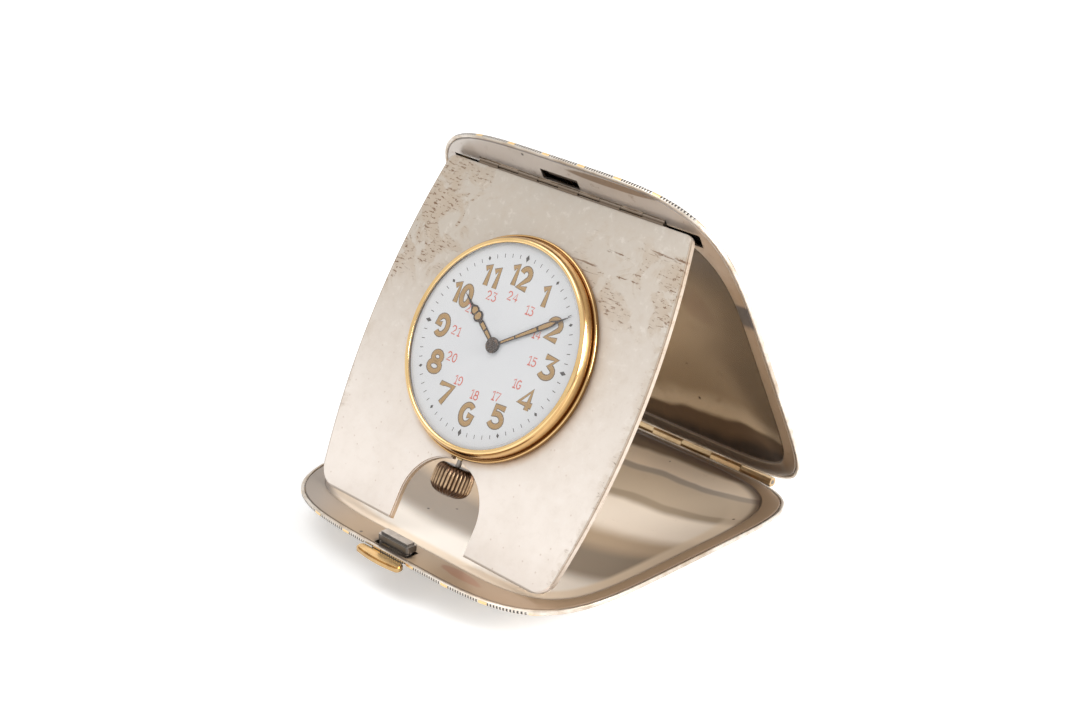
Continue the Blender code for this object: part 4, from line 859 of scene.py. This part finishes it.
def shell_mesh(side):
    """A cover's domed shell with its rolled edge; side is -1 for a dome below the rim plane."""
    sizes, outer = covers_of(), cover_outline()
    shoulder, inner = outer.inset(sizes.edge_round), outer.inset(sizes.skin)
    edge = sizes.edge_height + sizes.edge_round
    inside, outside = [], []
    for share in dome_shares:
        depth = hollow(edge, sizes.depth, share)
        inside.append(shoulder.inset(sizes.skin).scaled(share).ring(side * (depth - sizes.skin)))
        outside.append(shoulder.scaled(share).ring(side * depth))
    rim = [
        inner.inset(sizes.edge_round).ring(side * (hollow(edge, sizes.depth, 1) - sizes.skin)),
        inner.ring(side * (sizes.edge_height - sizes.skin / 2)),
        inner.ring(side * sizes.lip),
        inner.inset(-sizes.lip).ring(0),
        outer.inset(sizes.lip).ring(0),
        outer.ring(side * sizes.lip),
    ]
    for inset, rise in arc((1, 0), (-1, 1), 0, 90, 6):
        height = sizes.edge_height + sizes.edge_round * rise
        rim.append(outer.inset(sizes.edge_round * inset).ring(side * height))
    return loft(inside + rim + outside[::-1])


def lining_mesh(opening, side):
    """A rim strip and its dish in one sheet, with an eased edge round the opening."""
    sizes, floor_inset = covers_of(), 0.0003
    strip = cover_outline().inset(sizes.skin + sizes.lining_fit)
    eased = ((0.00015, 0.0003), (0.00008, 0.00012), (-0.00002, 0.00003), (-0.00012, 0.0))
    floor = opening.inset(floor_inset)
    under = floor.inset(-sizes.lining)
    inside, outside = [], []
    for share in (*dome_shares, 1):
        depth = hollow(sizes.dish_edge, sizes.dish_depth, share)
        inside.append(floor.scaled(share).ring(side * depth))
        outside.append(under.scaled(share).ring(side * (depth + sizes.lining)))
    outside[-1] = under.ring(side * (sizes.dish_edge + sizes.lining / 2))
    rim = [opening.inset(inset).ring(side * depth) for inset, depth in eased]
    rim += [strip.inset(sizes.lip).ring(0), strip.ring(side * sizes.lip), strip.ring(side * sizes.strip)]
    rim.append(opening.inset(-sizes.lining).ring(side * sizes.strip))
    return loft(inside + rim + outside[::-1])


# Operators


class ClockOperator(bpy.types.Operator):
    bl_options = {"REGISTER", "UNDO"}


class CLOCK_OT_base(ClockOperator):
    """The base cover: striped shell, rim strip and dished lining"""

    bl_idname = "clock.base"
    bl_label = "Base cover"

    def execute(self, context):
        sizes, place = covers_of(), base_frame()
        bar_recess = (-0.0082, -0.0861, -0.0021), (0.0046, -0.0836, -0.00056)
        catch_slot = (-0.0056, -0.0841, -0.0007), (0.0035, -0.0808, 0.001)
        rear_power, front_power = 5.0, 5.2
        shell = cut_box(shell_mesh(-1), *bar_recess)
        inverse = place.inverted()
        for vert in shell.vertices:
            point = place @ vert.co
            if point.z < 0:
                vert.co = inverse @ Vector((point.x, point.y, 0))
        piece("base_shell_fine", shell, "engraved", "base", place, ["base_shell"])
        opening = Bow(sizes.base_half, sizes.base_rear, sizes.base_front, rear_power, front_power)
        lining = cut_box(lining_mesh(opening, -1), *catch_slot)
        piece("base_lining_fine", lining, "base_lining", "base", place, ["base_liner"])
        return {"FINISHED"}


class CLOCK_OT_back(ClockOperator):
    """The back cover: striped shell, rim strip with its latch slot and keeper, and dished lining"""

    bl_idname = "clock.back"
    bl_label = "Back cover"

    def execute(self, context):
        sizes, place = covers_of(), back_frame()
        hinge_notch = (-0.0248, -0.0781, -0.001), (0.0248, -0.0764, 0.0012)
        plate_seat = (-0.0326, -0.0767, -0.001), (0.0326, -0.0735, 0.0012)
        latch_slot = (-0.0066, -0.0808, -0.001), (0.0033, -0.0783, 0.001)
        keeper_outline = [(-0.0054, -0.0810), (0.0036, -0.0810), (0.0036, -0.0794), (-0.0050, -0.0794)]
        keeper_near, keeper_far, keeper_bevel = 0.00055, 0.0009, 0.00005
        rear_power, front_power = 7.7, 4.6
        piece("back_shell_fine", shell_mesh(1), "engraved", "back_cover", place, ["back_shell"])
        opening = Bow(sizes.back_half, sizes.back_rear, sizes.back_front, rear_power, front_power)
        lining = lining_mesh(opening, 1)
        for box in (hinge_notch, plate_seat, latch_slot):
            lining = cut_box(lining, *box)
        piece("back_lining_fine", lining, "back_lining", "back_cover", place, ["back_liner"])
        keeper = slab(keeper_outline, keeper_near, keeper_far, keeper_bevel)
        piece("latch_keeper", keeper, "steel", "back_cover", place)
        return {"FINISHED"}


class CLOCK_OT_push_bar(ClockOperator):
    """Push bar in the base's front wall, with the catch that it slides"""

    bl_idname = "clock.push_bar"
    bl_label = "Push bar and catch"

    def execute(self, context):
        place = base_frame()
        bar_outline = rounded((-0.0079, -0.0873), (0.0043, -0.0850), 0.0011, 0.00045)
        block_outline = rounded((-0.0053, -0.0836), (0.0032, -0.0808), 0.0005)
        stem_outline = rounded((-0.0050, -0.0834), (0.0029, -0.0819), 0.0002)
        plate_outline = rounded((-0.0052, -0.0852), (0.0031, -0.0819), 0.0002)
        for name, outline, low, high, bevel, finish, slot, replaced in (
            ("bar_bowed", bar_outline, -0.0020, -0.0007, 0.0003, "bar", "gold", ["push_bar"]),
            ("catch_block", block_outline, 0.00005, 0.0023, 0.0005, "catch", "steel", ["catch_slide"]),
            ("catch_stem", stem_outline, -0.0006, 0.0001, 0.00005, "steel", "steel", []),
            ("catch_plate", plate_outline, -0.0012, -0.0006, 0.00005, "steel", "steel", []),
        ):
            sharp = 50.0 if replaced else 32.0
            piece(name, slab(outline, low, high, bevel), finish, "catch", place, replaced, sharp)
        return {"FINISHED"}


class CLOCK_OT_plate(ClockOperator):
    """Dial plate with bowed sides, its arch for the crown and the hole for the watch case"""

    bl_idname = "clock.plate"
    bl_label = "Dial plate"

    def execute(self, context):
        sizes = plate_of()
        side, hole, arch, slot = sizes.side_radius, sizes.hole, sizes.arch, sizes.slot

        def corner(radius, height):
            across = math.sqrt((side - radius) ** 2 - (height + sizes.widest) ** 2)
            angle = math.degrees(math.atan2(height + sizes.widest, across))
            return (sizes.half_width - side + across, height), angle

        upper, high = corner(sizes.top_corner, sizes.top - sizes.top_corner)
        lower, low = corner(sizes.low_corner, sizes.low_corner - sizes.bottom)
        right = arc(upper, (sizes.top_corner, sizes.top_corner), 90, high, 10)
        right += arc((sizes.half_width - side, -sizes.widest), (side, side), high, low, 40)[1:-1]
        right += arc(lower, (sizes.low_corner, sizes.low_corner), low, -90, 16)
        right += [(arch, -sizes.bottom)]
        right += arc((0, -sizes.arch_drop), (arch, arch), 0, math.degrees(math.acos(slot / arch)), 30)
        right += arc((0, 0), (hole, hole), -math.degrees(math.acos(slot / hole)), 90, 48)
        mesh = slab(mirrored(right), -sizes.thickness, 0.0, sizes.bevel)
        piece("plate_bowed", mesh, "plate", "dial_body", dial_frame(), ["dial_plate"], 50.0)
        return {"FINISHED"}


class CLOCK_OT_watch_case(ClockOperator):
    """Bezel, crystal, case wall and case back"""

    bl_idname = "clock.watch_case"
    bl_label = "Watch case"

    def execute(self, context):
        sizes, place = watch_of(), dial_frame()
        top, inner, outer = sizes.bezel_front, sizes.bezel_inner, sizes.bezel_radius
        ledge, peak = sizes.crystal_ledge, sizes.crystal_rise
        crest, groove, lip = inner + 0.0005, outer - 0.00072, outer - 0.0003
        crest_rise, belly, seat, skirt = 0.00035, 0.0011, 0.0211, 0.0002
        bezel = [(inner, ledge + 0.00015)]
        bezel += arc((crest, top - crest_rise), (crest - inner, crest_rise), 170, 90, 5)
        bezel += arc((crest, belly), (groove - crest, top - belly), 82, 4, 14)
        bezel += [(groove + 0.00004, 0.00095)]
        bezel += arc((lip, 0.0008), (outer - lip, 0.00042), 160, -20, 8)
        bezel += [(outer, 0.0003), (outer - 0.0001, skirt), (seat, skirt), (seat, ledge + 0.0001)]

        fine = [step / 16 for step in range(17)]
        view, rim, foot = inner - 0.0001, 0.0210, sizes.dial_front + 0.0001
        rise, glass = peak - sizes.crystal_edge, sizes.crystal_thickness
        under = view - glass
        outside = [(view * share, peak - rise * share**3) for share in fine]
        inside = [(under * share, peak - glass - rise * (under / view * share) ** 3) for share in fine]
        crystal = outside + [(view, ledge), (rim, ledge), (rim, foot), (under, foot)] + inside[::-1]

        bore, wall, depth = sizes.case_inner, sizes.case_outer, sizes.case_depth
        band = [(bore, 0.0001), (wall, 0.0001), (wall, -depth), (bore, -depth)]

        seam, thickness, bulge, snap_inner, snap_front = depth + 0.0001, 0.0005, 0.0013, 0.0203, 0.0031
        snap = bore - 0.0001
        inside = [(snap * share, -seam - bulge * (1 - share**2)) for share in fine if snap * share < 0.0200]
        edge = [(snap_inner, -seam), (snap_inner, -snap_front), (snap, -snap_front)]
        edge += [(snap, -seam), (wall, -seam)]
        outside = [(wall * share, -seam - thickness - bulge * (1 - share**2)) for share in fine]
        case_back = inside + edge + outside[::-1]

        for name, profile, finish, slot, replaced in (
            ("bezel_ring", bezel, "bezel", "gold", "bezel"),
            ("crystal_dome", crystal, "crystal", "crystal", "crystal"),
            ("case_wall", band, "gold", "gold", "case_band"),
            ("case_back_dome", case_back, "gold", "gold", "case_back"),
        ):
            piece(name, turned(profile, sizes.steps), finish, "dial_body", place, [replaced])
        return {"FINISHED"}


class CLOCK_OT_crown(ClockOperator):
    """Fluted crown"""

    bl_idname = "clock.crown"
    bl_label = "Crown"

    def execute(self, context):
        sizes = watch_of()
        near, far, radius, flutes = sizes.crown_near, sizes.crown_far, sizes.crown_radius, sizes.flutes
        profile = [(0.0, 0.60), (0.02, 0.78), (0.07, 0.88), (0.16, 0.955), (0.26, 0.99)]
        profile += [(0.36, 1.0), (0.62, 1.0), (0.70, 0.985), (0.80, 0.92), (0.88, 0.81)]
        profile += [(0.94, 0.66), (0.985, 0.46), (1.0, 0.25)]
        points, plain_reach, fade_reach, ridge_power = flutes * 8, 0.25, 0.5, 1.5
        rings = []
        for share, reach in profile:
            fade = min(1, max(0, reach - plain_reach) / fade_reach)
            ring = []
            for index in range(points):
                angle = 2 * math.pi * index / points
                wave = abs(math.sin(angle * flutes / 2))
                size = (radius - sizes.flute_depth * (1 - wave**ridge_power) * fade) * reach
                ring.append((size * math.cos(angle), size * math.sin(angle), near + (far - near) * share))
            rings.append(ring)
        piece("crown_fluted", loft(rings), "crown", "crown", stem_frame(), ["crown"], 50.0)
        return {"FINISHED"}


# Strokes of the digits in boxes 0.66 wide and 1 high, in a rounded poster style; 6 is a G and 9 a turned G
g_stroke = arc((0.34, 0.5), (0.27, 0.44), 48, 318, 16) + [(0.60, 0.47), (0.36, 0.47)]
glyphs = {
    "0": [arc((0.33, 0.5), (0.25, 0.44), 90, 450, 20)],
    "1": [[(0.10, 0.78), (0.36, 0.95), (0.36, 0.04)]],
    "2": [arc((0.33, 0.67), (0.25, 0.28), 170, -30, 10) + [(0.10, 0.06), (0.62, 0.06)]],
    "3": [[(0.08, 0.93), (0.58, 0.93), (0.32, 0.58)] + arc((0.29, 0.31), (0.29, 0.27), 70, -150, 10)],
    "4": [[(0.48, 0.04), (0.48, 0.94), (0.06, 0.30), (0.66, 0.30)]],
    "5": [[(0.58, 0.93), (0.16, 0.93), (0.13, 0.54)] + arc((0.31, 0.33), (0.28, 0.29), 115, -150, 12)],
    "6": [g_stroke],
    "7": [[(0.05, 0.80), (0.05, 0.93), (0.60, 0.93), (0.26, 0.04)]],
    "8": [arc((0.33, 0.73), (0.20, 0.22), 90, 450, 14), arc((0.33, 0.28), (0.26, 0.24), 90, 450, 16)],
    "9": [[(0.66 - across, 1 - along) for across, along in g_stroke]],
}
serif = [(0.16, 0.04), (0.56, 0.04)]
narrow_advance, advance = 0.56, 0.78


def strokes_of(word, height, centre, wide=1.0, serifs=False):
    """A number's strokes at its place on the dial."""
    strokes = []
    start = 0.0
    for character in word:
        lines = glyphs[character]
        if serifs and character == "1":
            lines = lines + [serif]
        strokes += [[(start + across, along) for across, along in line] for line in lines]
        start += narrow_advance if character == "1" else advance
    reaches = [across for stroke in strokes for across, along in stroke]
    middle = (min(reaches) + max(reaches)) / 2
    width = height * wide
    left, low = centre[0] - middle * width, centre[1] - height / 2
    return [[(left + across * width, low + along * height) for across, along in stroke] for stroke in strokes]


def printed(strokes, width, low, rise):
    """Strokes as one flattened bead mesh."""
    shape = bpy.data.curves.new("print", "CURVE")
    shape.dimensions = "3D"
    shape.bevel_depth = width / 2
    shape.bevel_resolution = 3
    shape.use_fill_caps = True
    for stroke in strokes:
        closed = len(stroke) > 12 and math.dist(stroke[0], stroke[-1]) < 1e-6
        points = stroke[:-1] if closed else stroke
        line = shape.splines.new("POLY")
        line.points.add(len(points) - 1)
        for point, (across, along) in zip(line.points, points):
            point.co = (across, along, 0, 1)
        line.use_cyclic_u = closed
    mesh = mesh_of(put("print", shape))
    for vert in mesh.vertices:
        vert.co.z = low + max(0.0, vert.co.z / (width / 2)) * rise
    return mesh


def heading(share):
    """The direction on the dial after a share of a turn from twelve."""
    angle = math.pi / 2 - 2 * math.pi * share
    return Vector((math.cos(angle), math.sin(angle)))


class CLOCK_OT_dial(ClockOperator):
    """Enamel dial with its numbers and minute track"""

    bl_idname = "clock.dial"
    bl_label = "Dial"

    def execute(self, context):
        sizes, place = watch_of(), dial_frame()
        top, hole, radius = sizes.dial_front, 0.0009, sizes.dial_radius
        under = top - sizes.dial_thickness
        dial = turned([(hole, top), (radius, top), (radius, under), (hole, under)], sizes.steps)
        piece("dial_face", dial, "enamel", "dial_body", place, ["dial"])
        large, small = [], []
        for hour in range(1, 13):
            way, wide = heading(hour / 12), 1.26 if 1 < hour < 10 else 1.0
            large += strokes_of(str(hour), sizes.numeral_height, way * sizes.numeral_circle, wide)
            small += strokes_of(str(hour + 12), sizes.small_height, way * sizes.small_circle, 1.0, True)
        mark_ends = (sizes.track - 0.00040, sizes.track + 0.00040)
        minutes = [heading(minute / 60) for minute in range(60) if minute % 5]
        marks = [[way * reach for reach in mark_ends] for way in minutes]
        turn = place @ Matrix.Rotation(sizes.dial_turn, 4, "Z")
        film, relief = 0.00002, 0.00005
        for name, strokes, width, low, rise, finish in (
            ("numeral_edges", large, 0.00132, top, film, "edge"),
            ("numerals", large, 0.00094, top + film / 2, relief, "ochre"),
            ("small_numbers", small, 0.00026, top, film, "red"),
            ("minute_track", marks, 0.00015, top, film, "ink"),
        ):
            piece(name, printed(strokes, width, low, rise), finish, "dial_body", turn)
        marks = []
        for hour in range(12):
            reach, wide = (0.00080, 0.00045) if hour % 3 == 0 else (0.00050, 0.00034)
            way = heading(hour / 12)
            centre, along, across = way * sizes.track, way * reach, way.orthogonal() * wide
            marks.append([centre + along, centre + across, centre - along, centre - across])
        piece("hour_marks", patches(marks, top + film), "ink", "dial_body", turn)
        return {"FINISHED"}


# Right halves of the hands and of their fillings, in millimetres from the centre
hour_half = [(0.50, 1.2), (0.62, 5.9), (0.50, 6.4), (1.15, 7.2), (1.22, 7.9), (0.85, 8.5), (1.05, 9.0)]
hour_half += [(0.95, 9.7), (0.30, 10.6), (0.16, 12.4), (0.0, 14.27)]
hour_fillings = [
    [(0.0, 1.9), (0.26, 1.9), (0.34, 3.8), (0.0, 3.8)],
    [(0.0, 4.2), (0.34, 4.2), (0.36, 5.8), (0.0, 5.8)],
    [(0.0, 6.9), (0.75, 7.3), (0.85, 7.9), (0.45, 8.3), (0.0, 8.3)],
    [(0.0, 8.7), (0.50, 8.7), (0.72, 9.1), (0.60, 9.6), (0.0, 10.1)],
]
minute_half = [(0.34, 1.2), (0.40, 5.5), (0.56, 10.5), (0.66, 12.5), (0.60, 14.2), (0.24, 15.6), (0.13, 17.4)]
minute_half += [(0.0, 19.05)]
minute_fillings = [
    [(0.0, 2.0), (0.15, 2.0), (0.20, 5.2), (0.0, 5.2)],
    [(0.0, 5.6), (0.21, 5.6), (0.34, 10.6), (0.0, 10.6)],
    [(0.0, 11.1), (0.36, 11.1), (0.44, 12.5), (0.36, 14.0), (0.0, 15.0)],
]


class CLOCK_OT_hands(ClockOperator):
    """Lobed hands with luminous filling, and their cap"""

    bl_idname = "clock.hands"
    bl_label = "Hands"

    def execute(self, context):
        place = dial_frame()
        thick, bevel, rim, boss_thick, ease, film = 0.00011, 0.00003, 0.00010, 0.00012, 0.0001, 0.000115
        for name, half, fillings, body, degrees, low, hub, bore in (
            ("hour", hour_half, hour_fillings, "hour_works", 303.2, 0.00275, 0.0015, 0.00080),
            ("minute", minute_half, minute_fillings, "minute_works", 54.5, 0.00297, 0.0013, 0.00050),
        ):
            turn = place @ Matrix.Rotation(-math.radians(degrees), 4, "Z")
            blade = slab(mirrored(half, millimetre), low, low + thick, bevel)
            piece(name + "_blade", blade, "hands", body, turn, [name + "_hand"])
            high = low + boss_thick
            boss = [(bore, low), (hub, low), (hub, low + rim), (hub - ease, high), (bore, high)]
            piece(name + "_boss", turned(boss, 48), "hands", body, turn)
            lume = patches([mirrored(filling, millimetre) for filling in fillings], low + film)
            piece(name + "_lume", lume, "ochre", body, turn)
        cap_radius, cap_foot, cap_edge, cap_rise = 0.0016, 0.00319, 0.00324, 0.00045
        cap = [(0.0, cap_edge + cap_rise)] + arc((0, cap_edge), (cap_radius, cap_rise), 80, 0, 8)
        cap += [(cap_radius, cap_foot), (0.0, cap_foot)]
        piece("cap_dome", turned(cap, 64), "hands", "minute_works", place, ["centre_cap"])
        return {"FINISHED"}


class CLOCK_OT_plain_nodes(ClockOperator):
    """Finishes for the solids that show as they are: hinges, springs, stem and the movement"""

    bl_idname = "clock.plain_nodes"
    bl_label = "Finishes"

    def execute(self, context):
        slots = {entry["node"]: entry["material_slot"] for entry in frame["record"]["subparts"]}
        own = {"stem_tube": "bar", "lining": "base_lining"}
        own.update(cover_plate_knuckles="plate_hinge", plate_knuckles="plate_hinge")
        for name, node in frame["nodes"].items():
            node.data.materials.clear()
            node.data.materials.append(finish_of(own.get(name) or own.get(slots[name], slots[name])))
        return {"FINISHED"}


class CLOCK_OT_stage(ClockOperator):
    """Pale floor, soft light and the camera"""

    bl_idname = "clock.stage"
    bl_label = "Stage"

    def execute(self, context):
        scene = context.scene
        white, pale, reach = (1, 1, 1), (0.80, 0.80, 0.80), 3.0
        floor_glow, sky, seen_sky = 0.37, 0.60, 0.40
        lamps = {"key": ((-0.25, -0.22, 0.85), 0.6, 3.0), "fill": ((0.75, 0.16, 0.36), 0.5, 12.0)}
        lit_spot = Vector((0, 0, 0.03))
        camera_spot, camera_turn, lens = (0.2296, -0.2641, 0.1898), (65.965, -2.571, 43.3915), 61.683

        floor = bpy.data.meshes.new("floor")
        corners = [(-reach, -reach, 0), (reach, -reach, 0), (reach, reach, 0), (-reach, reach, 0)]
        floor.from_pydata(corners, [], [(0, 1, 2, 3)])
        ground = put("floor", floor)
        finish = Finish("floor_white")
        glow = {"Color": white, "Strength": finish.seen_rays() * floor_glow}
        shaders = (
            finish.node("ShaderNodeBsdfDiffuse", None, {"Color": pale}),
            finish.node("ShaderNodeEmission", None, glow),
        )
        floor.materials.append(finish.end(finish.node("ShaderNodeAddShader", None, dict(enumerate(shaders)))))

        scene.world = bpy.data.worlds.new("studio")
        finish = Finish("studio", scene.world)
        light = {"Color": white, "Strength": sky + finish.seen_rays() * seen_sky}
        finish.end(finish.node("ShaderNodeBackground", None, light), "ShaderNodeOutputWorld")

        for name, (spot, size, power) in lamps.items():
            lamp = bpy.data.lights.new(name, "AREA")
            lamp.size = size
            lamp.energy = power
            holder = put(name, lamp)
            holder.location = spot
            holder.rotation_euler = (lit_spot - Vector(spot)).to_track_quat("-Z", "Y").to_euler()

        view = bpy.data.cameras.new("camera")
        view.sensor_width = 36
        view.lens = lens
        view.clip_start = 0.01
        camera = put("camera", view)
        camera.location = camera_spot
        camera.rotation_euler = Euler([math.radians(angle) for angle in camera_turn])
        scene.camera = camera
        scene.view_settings.view_transform = "Standard"
        return {"FINISHED"}


class CLOCK_PT_panel(bpy.types.Panel):
    bl_label = "Travel clock"
    bl_idname = "CLOCK_PT_panel"
    bl_space_type = "VIEW_3D"
    bl_region_type = "UI"
    bl_category = "Travel clock"

    def draw(self, context):
        for made in operators:
            self.layout.operator(made.bl_idname)
        for group in groups:
            box = self.layout.box()
            for name in groups[group].__annotations__:
                box.prop(getattr(context.scene, group), name)


groups = {
    "clock_covers": ClockCovers,
    "clock_plate": ClockPlate,
    "clock_watch": ClockWatch,
    "clock_colours": ClockColours,
}
operators = (
    CLOCK_OT_stage,
    CLOCK_OT_plain_nodes,
    CLOCK_OT_base,
    CLOCK_OT_back,
    CLOCK_OT_push_bar,
    CLOCK_OT_plate,
    CLOCK_OT_watch_case,
    CLOCK_OT_crown,
    CLOCK_OT_dial,
    CLOCK_OT_hands,
)
classes = (*groups.values(), *operators, CLOCK_PT_panel)


def register():
    for made in classes:
        bpy.utils.register_class(made)
    for name, group in groups.items():
        setattr(bpy.types.Scene, name, PointerProperty(type=group))


def unregister():
    for name in groups:
        delattr(bpy.types.Scene, name)
    for made in reversed(classes):
        bpy.utils.unregister_class(made)


def main():
    register()
    bpy.ops.clock.stage()
    bpy.ops.clock.plain_nodes()
    bpy.ops.clock.base()
    bpy.ops.clock.back()
    bpy.ops.clock.push_bar()
    bpy.ops.clock.plate()
    bpy.ops.clock.watch_case()
    bpy.ops.clock.crown()
    bpy.ops.clock.dial()
    bpy.ops.clock.hands()


if __name__ == "__main__":
    main()
